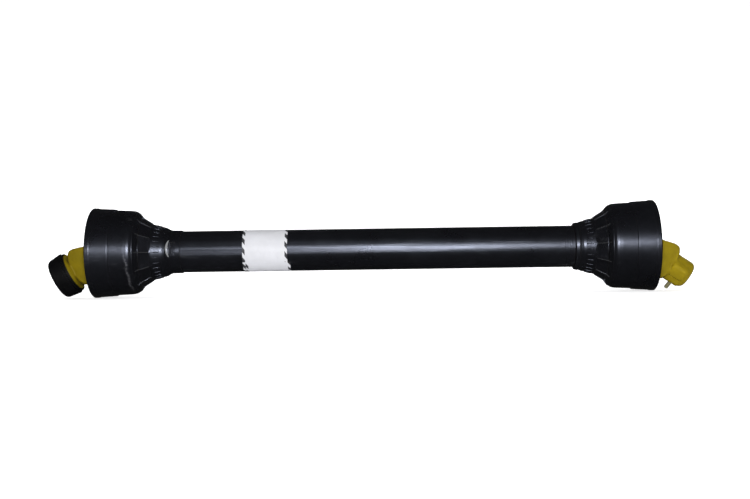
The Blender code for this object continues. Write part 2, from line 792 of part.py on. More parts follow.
def make_boss():
    """The lug beside the hub that holds the pin, fading into the hub towards its end."""
    bm = bmesh.new()
    rings = [
        [bm.verts.new((x, y, z)) for y, z in boss_outline(share)]
        for x, share in ((BASE_END - 0.004, 1.0), (BOSS_END, 1.0), (BOSS_FADE, 0.82))
    ]
    for ring, following in zip(rings, rings[1:]):
        for a in range(len(ring)):
            b = (a + 1) % len(ring)
            bm.faces.new([ring[a], ring[b], following[b], following[a]])
    bm.faces.new(rings[0])
    bm.faces.new(rings[-1])
    return object_of("boss", bm)


def make_pin_yoke(swing):
    """The fork with the plain hub and the boss of the push pin."""
    made = fork("pin_yoke", [
        (BASE_END - 0.006, BASE_R), (BASE_END - 0.002, BASE_R - 0.0020), (BASE_END, BASE_R - 0.0060),
        (BASE_END + 0.0010, HUB_R + 0.0015), (BASE_END + 0.0035, HUB_R), (HUB_END - 0.0020, HUB_R),
        (HUB_END, HUB_R - 0.0020), (HUB_END, 0),
    ])
    rolled(made, math.pi / 2)
    combine(made, make_boss(), "UNION")
    cut_splines(made)
    wide, narrow = PIN_R + GAP, PIN_STEM_R + GAP
    step = GAP
    bore = on_pin_line("pin_bore", [
        (-0.03, 0), (-0.03, wide), (step, wide), (step, narrow), (0.04, narrow), (0.04, 0),
    ], SMALL_FACETS)
    combine(made, bore, "DIFFERENCE")
    place(made, "yoke_paint", swing)


def centred_on_pin(made, paint, swing):
    """Keeps the piece where it is, with its origin on the pin's line at the hub's side."""
    place(made, paint, swing)
    origin = pin_frame().translation
    made.data.transform(Matrix.Translation(-origin))
    made.location = origin
    return made


def make_push_pin(swing):
    """A sprung pin with a locking head, a waist that frees the shaft, and a stem to press."""
    pocket = -PIN_LOCK_LENGTH + PIN_POCKET_DEPTH
    pin = on_pin_line("push_pin", [
        (pocket, 0), (pocket, PIN_POCKET_R), (-PIN_LOCK_LENGTH, PIN_POCKET_R), (-PIN_LOCK_LENGTH, PIN_R),
        (0, PIN_R), (0, PIN_WAIST_R), (PIN_WAIST_END - 0.001, PIN_WAIST_R), (PIN_WAIST_END, PIN_STEM_R),
        (PIN_TIP - 0.001, PIN_STEM_R), (PIN_TIP, PIN_STEM_R - 0.001), (PIN_TIP, 0),
    ], SMALL_FACETS)
    centred_on_pin(pin, "pin_steel", swing)
    plug_r = PIN_R - 0.0001
    plug = on_pin_line("pin_plug", [
        (-BOSS_IN + 0.0002, 0), (-BOSS_IN + 0.0002, plug_r), (-BOSS_IN + PLUG_LENGTH, plug_r),
        (-BOSS_IN + PLUG_LENGTH, 0),
    ], SMALL_FACETS)
    centred_on_pin(plug, "spring_steel", swing)
    low = -BOSS_IN + PLUG_LENGTH + PIN_WIRE_R + GAP
    spring = coil("pin_spring", low, pocket - PIN_WIRE_R - GAP, PIN_TURNS,
                  PIN_POCKET_R - PIN_WIRE_R - 2 * GAP, PIN_WIRE_R, 8)
    place(spring, "spring_steel", swing)
    along = Matrix.Rotation(math.pi / 2, 4, "Y")
    spring.matrix_local = pin_frame() @ along


# Crosses

def make_cross(name, end):
    """The spider of a joint: four journals on a stout body, along Y and Z."""
    top = CUP_SPAN / 2 - CUP_FLOOR - GAP
    half = [
        (top, 0), (top, JOURNAL_R), (CROSS_SHOULDER, JOURNAL_R), (CROSS_SHOULDER, CROSS_BODY_R),
    ]
    profile = half + [(-x, r) for x, r in reversed(half)]
    made = turned(name, profile, SMALL_FACETS, "Z")
    combine(made, turned("arm", profile, SMALL_FACETS, "Y"), "UNION")
    seat = turned("seat", [(0.008, 0), (0.008, NIPPLE_R), (NIPPLE_SEAT, NIPPLE_R), (NIPPLE_SEAT, 0)],
                  TINY_FACETS, "Z")
    seat.rotation_euler.x = NIPPLE_ANGLE
    combine(made, seat, "UNION")
    place(made, "bearing_steel", end)


def make_nipple(name, end):
    """The grease nipple, pointing out between two journals."""
    foot = NIPPLE_SEAT + GAP
    made = turned(name, [
        (foot, 0), (foot, NIPPLE_R), (foot + 0.0026, NIPPLE_R), (foot + 0.0030, NIPPLE_R - 0.0010),
        (foot + 0.0048, 0.0018), (foot + 0.0062, 0.0027), (foot + 0.0074, 0.0022), (foot + 0.0074, 0),
    ], TINY_FACETS, "Z")
    place(made, "nipple_brass", end, rotation=(NIPPLE_ANGLE, 0, 0))


def make_journal_set(end_name, where, parent, rotation):
    """A cup, its seal and its clip, about the parent's Z axis as turned by the rotation."""
    top = CUP_SPAN / 2
    mouth = top - CUP_LENGTH
    bore = JOURNAL_R + JOURNAL_PLAY
    cup = turned(f"{end_name}_cup_{where}", [
        (mouth, bore), (mouth, CUP_R), (top, CUP_R), (top, 0),
        (top - CUP_FLOOR, 0), (top - CUP_FLOOR, bore),
    ], SMALL_FACETS, "Z")
    place(cup, "bearing_steel", parent, rotation=rotation)
    seal = turned(f"{end_name}_seal_{where}", [
        (mouth - GAP, bore + GAP), (mouth - GAP - SEAL_LENGTH, bore + GAP),
        (mouth - GAP - SEAL_LENGTH, CUP_R - 0.0022), (mouth - GAP, CUP_R - 0.0008),
    ], TINY_FACETS + 2, "Z")
    place(seal, "seal_rubber", parent, rotation=rotation)
    low = top + GAP
    wide = CUP_R + GAP + CLIP_BITE - 0.0001
    clip = split_ring(f"{end_name}_snap_ring_{where}", [
        (low, CLIP_INNER_R), (low, wide), (low + CLIP_THICKNESS, wide), (low + CLIP_THICKNESS, CLIP_INNER_R),
    ], SMALL_FACETS, 1, "Z")
    place(clip, "spring_steel", parent, rotation=rotation)


def make_joint(side, end, swing):
    """A cross with its nipple, and the four cups in the ears of its two forks."""
    make_cross(f"{side}_cross", end)
    make_nipple(f"{side}_grease_nipple", end)
    make_journal_set(side, "top", end, (0, 0, 0))
    make_journal_set(side, "bottom", end, (math.pi, 0, 0))
    front = math.pi / 2 if side == "right" else -math.pi / 2
    make_journal_set(side, "front", swing, (front, 0, 0))
    make_journal_set(side, "rear", swing, (-front, 0, 0))


def clear_scene():
    for old in list(bpy.data.objects):
        bpy.data.objects.remove(old)


def main():
    clear_scene()
    left_reach, right_reach = outer_reach()
    middle = (left_reach - right_reach) / 2
    left = frame("left_end", None, (middle - JOINT_SPAN / 2, 0, AXIS_HEIGHT))
    right = frame("right_end", None, (middle + JOINT_SPAN / 2, 0, AXIS_HEIGHT), (0, 0, math.pi))
    left_swing = frame("left_swing", left, rotation=(0, COLLAR_BEND, math.pi))
    right_swing = frame("right_swing", right, rotation=(0, PIN_BEND, math.pi))

    make_left_bell(left)
    place(bell("right_bell", collar_tail()), "guard_plastic", right)
    make_guard_tubes(left, right)
    make_guard_bearing("left_guard_bearing", left, OUTER_SOCKET_R, OUTER_GUARD_R - OUTER_GUARD_WALL)
    make_guard_bearing("right_guard_bearing", right, INNER_SOCKET_R, INNER_GUARD_R - INNER_GUARD_WALL)
    make_label(left)

    make_profile_tube("outer_profile_tube", left, OUTER_TUBE_R, OUTER_TUBE_WALL)
    make_profile_tube("inner_profile_tube", right, inner_tube_r(), INNER_TUBE_WALL)
    make_tube_fork("left_tube_yoke", left, OUTER_SOCKET_R, OUTER_TUBE_R)
    make_tube_fork("right_tube_yoke", right, INNER_SOCKET_R, inner_tube_r())
    make_roll_pin("left_roll_pin", left, OUTER_SOCKET_R)
    make_roll_pin("right_roll_pin", right, INNER_SOCKET_R)

    make_joint("left", left, left_swing)
    make_joint("right", right, right_swing)
    make_collar_yoke(left_swing)
    make_pull_collar(left_swing)
    make_collar_inside(left_swing)
    make_pin_yoke(right_swing)
    make_push_pin(right_swing)


main()
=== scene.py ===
"""Looks of a tractor's cardan drive shaft with its plastic guard.

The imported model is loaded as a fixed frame. Each piece is built over its solid, gets its finish and
rides on its body. Sizes are in metres, X runs along the shaft and Z is up. Each end is built in its
own frame: the origin is the centre of that end's joint and +X points inwards along the shaft. The
outer forks have frames of their own at the same centres, with +X pointing out along the hub.
"""

import json
import math

import bmesh
import bpy
from mathutils import Matrix, Vector


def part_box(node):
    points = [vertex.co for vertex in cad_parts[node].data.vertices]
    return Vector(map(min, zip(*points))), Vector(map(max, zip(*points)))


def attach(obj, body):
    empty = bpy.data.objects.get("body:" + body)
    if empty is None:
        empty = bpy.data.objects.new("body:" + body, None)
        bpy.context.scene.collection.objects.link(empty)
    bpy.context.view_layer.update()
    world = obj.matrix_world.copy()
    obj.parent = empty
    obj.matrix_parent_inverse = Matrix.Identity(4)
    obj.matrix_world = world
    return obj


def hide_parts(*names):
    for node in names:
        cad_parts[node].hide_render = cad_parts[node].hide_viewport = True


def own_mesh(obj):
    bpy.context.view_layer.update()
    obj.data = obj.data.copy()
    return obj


bl_info = {
    "name": "Cardan drive shaft",
    "version": (1, 0, 0),
    "blender": (4, 5, 0),
    "location": "3D View > Sidebar > Drive shaft",
    "description": "Builds a guarded cardan drive shaft over its packed solids",
    "category": "Object",
}

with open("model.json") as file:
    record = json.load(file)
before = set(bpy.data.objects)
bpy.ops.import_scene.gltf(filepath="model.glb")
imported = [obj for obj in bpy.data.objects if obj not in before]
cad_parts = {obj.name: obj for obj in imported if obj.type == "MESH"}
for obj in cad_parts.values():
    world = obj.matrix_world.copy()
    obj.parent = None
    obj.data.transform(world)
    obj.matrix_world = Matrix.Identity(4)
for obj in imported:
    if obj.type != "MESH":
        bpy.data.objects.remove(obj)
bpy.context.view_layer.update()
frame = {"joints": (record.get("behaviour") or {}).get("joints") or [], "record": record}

# Frames of the two ends and of the two outer forks

JOINTS = {joint["name"]: joint for joint in frame["joints"]}
MOUNTS = {mount["name"]: mount for mount in frame["record"]["mounts"]}
LEFT_CENTRE = Vector(JOINTS["left_outer_pivot"]["pos_m"])
RIGHT_CENTRE = Vector(JOINTS["right_outer_pivot"]["pos_m"])
JOINT_SPAN = RIGHT_CENTRE.x - LEFT_CENTRE.x


def fork_frame(centre, hub, side):
    """Where an outer fork stands: +X along its hub, and +Y to the front or the rear."""
    x, y = Vector(hub).normalized(), Vector((0, side, 0))
    turn = Matrix((x, y, x.cross(y))).transposed()
    return Matrix.Translation(centre) @ turn.to_4x4()


LEFT = Matrix.Translation(LEFT_CENTRE)
RIGHT = Matrix.Translation(RIGHT_CENTRE) @ Matrix.Rotation(math.pi, 4, "Z")
COLLAR_FORK = fork_frame(LEFT_CENTRE, MOUNTS["collar_hub_face"]["axis"], -1)
PIN_FORK = fork_frame(RIGHT_CENTRE, MOUNTS["pin_hub_face"]["axis"], 1)

# Sizes that follow the solids, or the photograph where the solids don't

GAP = 0.0003
MOUTH_OVER = 0.025
RIM_R = (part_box("left_bell")[1].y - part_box("left_bell")[0].y) / 2
OUTER_GUARD_R, INNER_GUARD_R = 0.0388, 0.0352
OUTER_GUARD_WALL, INNER_GUARD_WALL = 0.0025, 0.0024
GUARD_START = 0.100
SLEEVE_END, COLLAR_END = 0.167, 0.149
WINDOW_START, WINDOW_LENGTH, WINDOW_WIDTH, WINDOW_TURN = 0.1475, 0.0115, 0.026, math.radians(9)
BAND_START, BAND_START_R, BAND_END, BAND_END_R = 0.1160, 0.0515, 0.1310, 0.0472
TUBE_BACKSET = 0.133
SOCKET_FLOOR, SOCKET_END = 0.078, 0.125
OUTER_SOCKET_R, INNER_SOCKET_R = 0.0340, 0.0300
GROOVE_START, GROOVE_WIDTH, GROOVE_DEPTH = 0.084, 0.010, 0.003
ROLL_PIN_X, ROLL_PIN_R = 0.112, 0.005
OUTER_TUBE_R, TUBE_LOBE, TUBE_WALL = 0.0252, 0.0018, 0.0035
INNER_TUBE_R = OUTER_TUBE_R - TUBE_WALL - 0.0004
CUP_R, CUP_SPAN, CUP_LENGTH, CUP_FLOOR = 0.0135, 0.0746, 0.0168, 0.0032
JOURNAL_R, JOURNAL_PLAY, SEAL_LENGTH = 0.0080, 0.0004, 0.0032
CLIP_THICKNESS, CLIP_INNER_R, CLIP_BITE = 0.0015, 0.0106, 0.0009
EAR_IN, EAR_OUT, NOSE_R = 0.025, 0.041, 0.023
SWEEP_R, CROTCH_R = 0.0475, 0.045
BASE_START, BASE_END, BASE_R = 0.055, 0.0765, 0.0365
HUB_R, HUB_END = 0.025, 0.107
SPLINE_MAJOR_R, SPLINE_MINOR_R, SPLINE_WIDTH = 0.0175, 0.0148, 0.0087
FLANGE_END, FLANGE_R = 0.082, 0.0355
WEB_START, WEB_END, POCKET_R = 0.0967, 0.1040, 0.0300
BALL_R, BALL_X, BALL_COUNT = 0.005, 0.1003, 3
PIN_X, PIN_OFFSET, PIN_LEAN, PIN_R, PIN_STEM_R = 0.084, 0.0206, math.radians(35), 0.005, 0.0038
PLUG_THICKNESS, PIN_POCKET_R = 0.003, 0.0036
BOSS_OUT, BOSS_IN, BOSS_END, BOSS_FADE = 0.0195, 0.018, 0.095, 0.104
NIPPLE_ANGLE, NIPPLE_SEAT = math.radians(45), 0.0205


# Settings that a user would change


def length(name, default, about):
    return bpy.props.FloatProperty(
        name=name, description=about, default=default, min=0.0, unit="LENGTH", precision=4
    )


def number(name, default, about, low=1):
    return bpy.props.IntProperty(name=name, description=about, default=default, min=low)


def share(name, default, about):
    return bpy.props.FloatProperty(
        name=name, description=about, default=default, min=0.0, max=1.0, subtype="FACTOR"
    )


def colour(name, default, about):
    return bpy.props.FloatVectorProperty(
        name=name, description=about, default=default, size=3, min=0.0, max=1.0, subtype="COLOR"
    )


class GuardSettings(bpy.types.PropertyGroup):
    """Sizes of the plastic guard."""

    rim_radius: length("Rim radius", RIM_R, "Outside of the bell's mouth")
    wall: length("Wall", 0.0024, "Thickness of the bell")
    panels: number("Panels", 12, "Flats round the bell's cone", 3)
    ridge_height: length("Ridge height", 0.0010, "How proud the edges between the flats stand")
    ridge_width: length("Ridge width", 0.0013, "Width of the edges between the flats")
    ribs: number("Grip ribs", 30, "Short ribs round the neck", 3)
    rib_height: length("Rib height", 0.0009, "How proud the short ribs stand")
    rib_width: length("Rib width", 0.0018, "Width of a short rib")
    label_start: length("Label start", 0.2586, "From the collar end's joint to the wrap")
    label_length: length("Label length", 0.0834, "Length of the wrap along the tube")
    dash_pitch: length("Dash pitch", 0.0194, "From one border dash of the wrap to the next")


class JointSettings(bpy.types.PropertyGroup):
    """Sizes of the forks and of what sits in them."""

    forging: length("Forging grain", 0.0009, "Size of the cells that the forged shapes are made of")
    flow: number("Forging rounds", 9, "How far the forged edges are rounded", 0)
    splines: number("Splines", 6, "Splines of the power take-off bore", 2)
    collar_turns: bpy.props.FloatProperty(
        name="Collar spring turns", description="Turns of the spring in the collar", default=2.6
    )
    collar_wire: length("Collar wire", 0.0009, "Radius of the collar spring's wire")
    pin_turns: bpy.props.FloatProperty(
        name="Pin spring turns", description="Turns of the spring behind the pin", default=5.0
    )
    pin_wire: length("Pin wire", 0.0005, "Radius of the pin spring's wire")


class FinishSettings(bpy.types.PropertyGroup):
    """Colours and wear of the finishes."""

    guard: colour("Guard", (0.0044, 0.0045, 0.0056), "Black plastic of the guard")
    # The scuff colour also paints the wavy line on the shoulder, partly a painted highlight.
    scuff_and_highlight: colour("Scuffs", (0.16, 0.16, 0.17), "Pale scuffs and scrapes on the black plastic")
    # Lighter paint at the edges: partly thin paint, partly a painted highlight.
    paint: colour("Yoke paint", (0.30, 0.222, 0.007), "Yellow paint of the forks")
    worn_and_highlight: colour("Worn paint", (0.45, 0.36, 0.05), "Paint that is thin or rubbed at the edges")
    collar: colour("Collar", (0.0030, 0.0030, 0.0036), "Black plastic of the pull collar")
    film: colour("Label film", (0.665, 0.67, 0.705), "Pale film of the wrap")
    nylon: colour("Nylon", (0.60, 0.57, 0.47), "Nylon of the guard bearings")
    steel: colour("Steel", (0.50, 0.50, 0.51), "Bright steel of bores, cups and crosses")
    wear: share("Wear", 0.6, "How much the edges are rubbed")
    # Dirt also sets how deep the painted shade in the yoke paint's corners is.
    dirt: share("Dirt", 0.5, "How much grease and dust lies in the corners")


class StudioSettings(bpy.types.PropertyGroup):
    """Floor, light and camera."""

    floor: colour("Floor", (0.86, 0.86, 0.87), "Floor and backdrop")
    key: bpy.props.FloatProperty(
        name="Key light", description="Power of the light by the camera", default=32.0, unit="POWER"
    )
    fill: bpy.props.FloatProperty(
        name="Fill", description="Brightness of the room's soft light", default=0.22
    )
    gleam: bpy.props.FloatProperty(
        name="Gleam", description="Brightness of the room as gloss reflects it", default=0.02
    )
    distance: length("Camera distance", 2.1988, "From the middle of the shaft")
    lens: bpy.props.FloatProperty(
        name="Lens", description="Focal length", default=56.06, unit="CAMERA"
    )


# Mesh work

AXES = {
    "X": Matrix.Identity(4),
    "Y": Matrix(((0, 0, 1, 0), (1, 0, 0, 0), (0, 1, 0, 0), (0, 0, 0, 1))),
    "Z": Matrix(((0, 1, 0, 0), (0, 0, 1, 0), (1, 0, 0, 0), (0, 0, 0, 1))),
}


def rounded(points, steps=4):
    """A closed outline with its corners rounded. A point is (u, v), or (u, v, radius) for a round corner."""
    made = []
    for i, point in enumerate(points):
        corner = Vector(point[:2])
        radius = point[2] if len(point) > 2 else 0
        if not radius:
            made.append(tuple(corner))
            continue
        back = Vector(points[i - 1][:2]) - corner
        ahead = Vector(points[(i + 1) % len(points)][:2]) - corner
        reach = radius / max(math.tan(back.angle(ahead) / 2), 0.05)
        reach = min(reach, 0.48 * back.length, 0.48 * ahead.length)
        start, end = corner + back.normalized() * reach, corner + ahead.normalized() * reach
        for k in range(steps + 1):
            t = k / steps
            made.append(tuple(start * (1 - t) ** 2 + corner * 2 * t * (1 - t) + end * t**2))
    return made


def braced(profile, near=0.0003):
    """The closed profile with a point close to both ends of each long stretch, so it shades evenly."""
    made = []
    for i, point in enumerate(profile):
        a, b = Vector(point[:2]), Vector(profile[(i + 1) % len(profile)][:2])
        made.append(tuple(a))
        if (b - a).length > 8 * near and a.y > 0 and b.y > 0:
            step = (b - a).normalized() * near
            made += [tuple(a + step), tuple(b - step)]
    return made


def turned(profile, steps=96, axis="X", start=0.0, sweep=math.tau, shape=None):
    """A closed (along, radius) profile turned about an axis. shape(along, radius, angle) may bend it."""
    whole = sweep >= math.tau - 1e-9
    profile = braced(profile)
    bm = bmesh.new()
    rings = []
    for i in range(steps if whole else steps + 1):
        angle = start + sweep * i / steps
        ring = []
        for x, r in profile:
            if shape:
                x, r = shape(x, r, angle)
            ring.append(bm.verts.new(AXES[axis] @ Vector((x, -r * math.sin(angle), r * math.cos(angle)))))
        rings.append(ring)
    for i in range(steps):
        ring, following = rings[i], rings[(i + 1) % len(rings)]
        for a in range(len(profile)):
            b = (a + 1) % len(profile)
            flat_a, flat_b = profile[a][1] < 1e-9, profile[b][1] < 1e-9
            if flat_a and flat_b:
                continue
            corners = [ring[a], ring[b], following[b], following[a]]
            if flat_a:
                corners.pop()
            elif flat_b:
                corners.pop(2)
            bm.faces.new(corners)
    if not whole:
        bm.faces.new(rings[0])
        bm.faces.new(rings[-1])
    return bm


def prism(outline, low, high, axis="X"):
    """A closed outline across the axis, drawn out from low to high along it."""
    return loft([(low, outline), (high, outline)], axis)


def skinned(bm, rings):
    """Faces from each ring of corners to the next, and one over each end."""
    for ring, following in zip(rings, rings[1:]):
        for a in range(len(ring)):
            b = (a + 1) % len(ring)
            bm.faces.new([ring[a], ring[b], following[b], following[a]])
    bm.faces.new(rings[0])
    bm.faces.new(rings[-1])
    return bm


def loft(sections, axis="X"):
    """A solid through outlines of as many points each, given as (along, [(u, v), ...])."""
    bm = bmesh.new()
    return skinned(bm, [[bm.verts.new(AXES[axis] @ Vector((x, u, v))) for u, v in outline]
                        for x, outline in sections])


def rod(low, high, radius):
    """The closed profile of a plain cylinder."""
    return [(low, 0), (low, radius), (high, radius), (high, 0)]


def bar(path, width, height, sink=0.0006):
    """A low rounded bar along a (along, radius) path on the +Z side, its foot sunk into the surface."""
    bm = bmesh.new()
    rings = []
    last, arc = len(path) - 1, 8
    for i, (x, r) in enumerate(path):
        full = {0: 0.25, 1: 0.8}.get(min(i, last - i), 1.0)
        ring = []
        for k in range(arc + 1):
            angle = math.pi * k / arc
            across = width / 2 * math.cos(angle) * (0.55 + 0.45 * full)
            ring.append(bm.verts.new((x, across, r + height * full * math.sin(angle))))
        ring += [bm.verts.new((x, side * width / 2, r - sink)) for side in (-1, 1)]
        rings.append(ring)
    return skinned(bm, rings)


def piece(name, bm, finish=None, place=None):
    """An object of the mesh, closed, facing outwards and put in its place."""
    bmesh.ops.remove_doubles(bm, verts=bm.verts, dist=1e-6)
    bmesh.ops.recalc_face_normals(bm, faces=bm.faces)
    mesh = bpy.data.meshes.new(name)
    bm.to_mesh(mesh)
    bm.free()
    made = bpy.data.objects.new(name, mesh)
    bpy.context.scene.collection.objects.link(made)
    if finish:
        mesh.materials.append(finish)
    if place:
        mesh.transform(place)
    return shaded(made)


def shaded(made, smooth=38):
    """Smooth faces with sharp edges where they meet at more than so many degrees."""
    made.data.shade_smooth()
    made.data.set_sharp_from_angle(angle=math.radians(smooth))
    return made


def settled(made):
    """Turns the object with its modifiers into a plain mesh."""
    graph = bpy.context.evaluated_depsgraph_get()
    mesh = bpy.data.meshes.new_from_object(made.evaluated_get(graph))
    made.modifiers.clear()
    old, made.data = made.data, mesh
    mesh.name = made.name
    bpy.data.meshes.remove(old)
    if not mesh.polygons:
        raise RuntimeError(f"{made.name} came out empty")
    return made


def combined(kept, other, operation="DIFFERENCE", solver="MANIFOLD"):
    """Cuts, joins or crosses a body with another, which is used up. A cut face has the cutter's finish."""
    modifier = kept.modifiers.new(operation, "BOOLEAN")
    modifier.operation = operation
    modifier.object = other
    modifier.solver = solver
    modifier.material_mode = "TRANSFER"
    settled(kept)
    bpy.data.objects.remove(other)
    return kept


def forged(made, grain, rounds):
    """Gives a body the soft edges of a forging."""
    remesh = made.modifiers.new("Forging", "REMESH")
    remesh.mode = "VOXEL"
    remesh.voxel_size = grain
    relax = made.modifiers.new("Flow", "SMOOTH")
    relax.factor = 0.5
    relax.iterations = rounds
    finish = made.data.materials[0] if made.data.materials else None
    settled(made)
    made.data.materials.clear()
    made.data.materials.append(finish)
    return made


def moved(made, matrix):
    """Moves the mesh itself, so that the object stays at the origin."""
    made.data.transform(matrix)
    made.data.update()
    return made


def finished(made, body, slot, *nodes):
    """Puts the piece on its body and hides the solids it stands for. The slot is not used."""
    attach(made, body)
    if nodes:
        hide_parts(*nodes)
    return made


# Node trees


class Net:
    """A node tree under construction. A plain value and a socket both feed a node's input."""

    def __init__(self, tree):
        self.tree = tree

    def feed(self, socket, value):
        if isinstance(value, bpy.types.NodeSocket):
            self.tree.links.new(value, socket)
        elif value is not None:
            socket.default_value = value

    def add(self, kind, feeds=None, **settings):
        node = self.tree.nodes.new(kind)
        for name, value in settings.items():
            setattr(node, name, value)
        for key, value in (feeds or {}).items():
            self.feed(node.inputs[key], value)
        return node

    def maths(self, operation, a, b=0.0, clamp=False):
        return self.add("ShaderNodeMath", {0: a, 1: b}, operation=operation, use_clamp=clamp).outputs[0]

    def times(self, a, b):
        return self.maths("MULTIPLY", a, b)

    def plus(self, a, b, part):
        """The value with a part of another added, held between 0 and 1."""
        return self.maths("ADD", a, self.times(b, part), clamp=True)

    def shared(self, a, b, amount):
        """What two masks share, by an amount, held between 0 and 1."""
        return self.maths("MULTIPLY", self.times(a, b), amount, clamp=True)

    def vectors(self, operation, a, b):
        """Vector maths, as the two outputs of its node: a vector and a value."""
        return self.add("ShaderNodeVectorMath", {0: a, 1: b}, operation=operation).outputs

    def room(self, reach, **settings):
        """How open the surface is: low in corners."""
        return self.add("ShaderNodeAmbientOcclusion", {"Distance": reach}, **settings).outputs["AO"]

    def spread(self, value, low, high, to_low=0.0, to_high=1.0):
        """The value stretched from one range to another, and held inside it."""
        feeds = {0: value, 1: low, 2: high, 3: to_low, 4: to_high}
        return self.add("ShaderNodeMapRange", feeds, clamp=True).outputs[0]

    def mix(self, part, a, b):
        """From value a to value b by a mask."""
        return self.add("ShaderNodeMix", {0: part, 2: a, 3: b}, data_type="FLOAT").outputs[0]

    def blend(self, part, a, b):
        """From colour a to colour b by a mask."""
        return self.add("ShaderNodeMix", {0: part, 6: a, 7: b}, data_type="RGBA").outputs[2]

    def noise(self, vector, scale, detail=4.0, rough=0.55, bend=0.0):
        feeds = {"Vector": vector, "Scale": scale, "Detail": detail, "Roughness": rough, "Distortion": bend}
        return self.add("ShaderNodeTexNoise", feeds).outputs[0]

    def stretched(self, vector, scale):
        """Coordinates stretched along their axes."""
        return self.add("ShaderNodeMapping", {"Vector": vector, "Scale": scale}).outputs[0]


def group(name, inputs, outputs, kind="ShaderNodeTree"):
    """An empty node group with named sockets, as (tree, net, its inputs, its output node)."""
    tree = bpy.data.node_groups.new(name, kind)
    for label, socket, default in inputs:
        made = tree.interface.new_socket(name=label, in_out="INPUT", socket_type=socket)
        if default is not None:
            made.default_value = default
    for label, socket in outputs:
        tree.interface.new_socket(name=label, in_out="OUTPUT", socket_type=socket)
    net = Net(tree)
    return tree, net, net.add("NodeGroupInput").outputs, net.add("NodeGroupOutput").inputs


FLOAT, VECTOR = "NodeSocketFloat", "NodeSocketVector"


def effect(name, outputs, **inputs):
    """An empty shader group: coordinates and its own named values in, masks or heights out."""
    own = [(label, VECTOR if isinstance(value, tuple) else FLOAT, value) for label, value in inputs.items()]
    return group(name, [("Vector", VECTOR, None), *own], [(label, FLOAT) for label in outputs])


def edge_wear_and_highlight_group():
    """Where outer edges are rubbed, broken up by grit. In the yoke paint this mask also lays lighter paint on
    the edges as a painted highlight.
    """
    tree, net, given, out = effect("Edge wear", ["Mask"], Radius=0.0012, Amount=0.6, Grit=220.0)
    soft = net.add("ShaderNodeBevel", {"Radius": given["Radius"]}, samples=6).outputs[0]
    true = net.add("ShaderNodeNewGeometry").outputs["Normal"]
    edge = net.spread(net.vectors("DOT_PRODUCT", soft, true)[1], 0.985, 0.80)
    edge = net.times(edge, net.spread(net.room(0.004, samples=4, only_local=True), 0.60, 0.95))
    grit = net.spread(net.noise(given["Vector"], given["Grit"], 5.0, 0.65), 0.40, 0.62)
    net.feed(out["Mask"], net.shared(edge, grit, given["Amount"]))
    return tree


def corner_dirt_and_shade_group():
    """A mask of inner corners, in blotches: where dust and grease collect, and in the yoke paint also where
    shade is painted.
    """
    tree, net, given, out = effect("Corner dirt", ["Mask"], Reach=0.006, Amount=0.5, Blotch=45.0)
    corner = net.spread(net.room(given["Reach"], samples=6), 0.92, 0.35)
    blotch = net.spread(net.noise(given["Vector"], given["Blotch"], 5.0, 0.6), 0.36, 0.66, 0.35, 1.0)
    net.feed(out["Mask"], net.shared(corner, blotch, given["Amount"]))
    return tree


def scuffs_group():
    """Fine scratches that run mostly one way, and the patches they lie in."""
    tree, net, given, out = effect("Scuffs", ["Scratches", "Patches"], Stretch=(1, 1, 1), Fineness=160.0,
                                   Amount=0.5)
    along = net.vectors("MULTIPLY", given["Vector"], given["Stretch"])[0]
    lines = net.spread(net.noise(along, given["Fineness"], 3.0, 0.7, 0.6), 0.60, 0.72)
    patches = net.spread(net.noise(given["Vector"], 22.0, 4.0, 0.6), 0.48, 0.70)
    net.feed(out["Scratches"], net.shared(lines, patches, given["Amount"]))
    net.feed(out["Patches"], patches)
    return tree


def grain_group():
    """Fine relief: moulded orange peel, forged or cast skin, by its two sizes."""
    tree, net, given, out = effect("Grain", ["Height"], Coarse=300.0, Fine=1400.0, Balance=0.5)
    coarse = net.noise(given["Vector"], given["Coarse"], 3.0, 0.5)
    fine = net.noise(given["Vector"], given["Fine"], 2.0, 0.5)
    net.feed(out["Height"], net.mix(given["Balance"], coarse, fine))
    return tree


def rings_group():
    """Turning marks: fine uneven rings along a direction."""
    tree, net, given, out = effect("Turning marks", ["Height"], Direction=(1, 0, 0), Rings=2500.0)
    along = net.vectors("DOT_PRODUCT", given["Vector"], given["Direction"])[1]
    line = net.add("ShaderNodeCombineXYZ", {0: along}).outputs[0]
    net.feed(out["Height"], net.noise(line, given["Rings"], 3.0, 0.7))
    return tree


GROUPS, FINISHES = {}, {}


class Finish(Net):
    """A material with its Principled shader, object coordinates and the shared groups at hand."""

    def __init__(self, name, roughness=0.5, metallic=0.0, **fixed):
        self.material = bpy.data.materials.new(name)
        self.material.use_nodes = True
        super().__init__(self.material.node_tree)
        self.shader = self.tree.nodes["Principled BSDF"]
        self.shader.inputs["Roughness"].default_value = roughness
        self.shader.inputs["Metallic"].default_value = metallic
        for label, value in fixed.items():
            self.shader.inputs[label.replace("_", " ")].default_value = value
        self.where = self.add("ShaderNodeTexCoord").outputs["Object"]
        FINISHES[name] = self.material

    def use(self, name, **feeds):
        """The outputs of a shared group, placed here with its own values."""
        node = self.add("ShaderNodeGroup", node_tree=GROUPS[name])
        self.feed(node.inputs["Vector"], self.where)
        for label, value in feeds.items():
            self.feed(node.inputs[label], value)
        return node.outputs

    def set(self, label, value):
        """Feeds an input of the Principled shader."""
        self.feed(self.shader.inputs[label], value)

    def shades(self, mask, tint, dark, light, low=0.3, high=0.7):
        """A darker and a lighter shade of one colour, mixed by a mask."""
        return self.blend(self.spread(mask, low, high), rgba(tint, dark), rgba(tint, light))

    def relief(self, height, strength, distance, under=None):
        """A normal with a height's bumps, over another normal where one is given."""
        feeds = {"Strength": strength, "Distance": distance, "Height": height}
        if under is not None:
            feeds["Normal"] = under
        return self.add("ShaderNodeBump", feeds).outputs[0]


def rgba(values, gain=1.0):
    """A colour for a socket, lighter or darker by a gain."""
    return (*[min(1.0, v * gain) for v in values], 1.0)


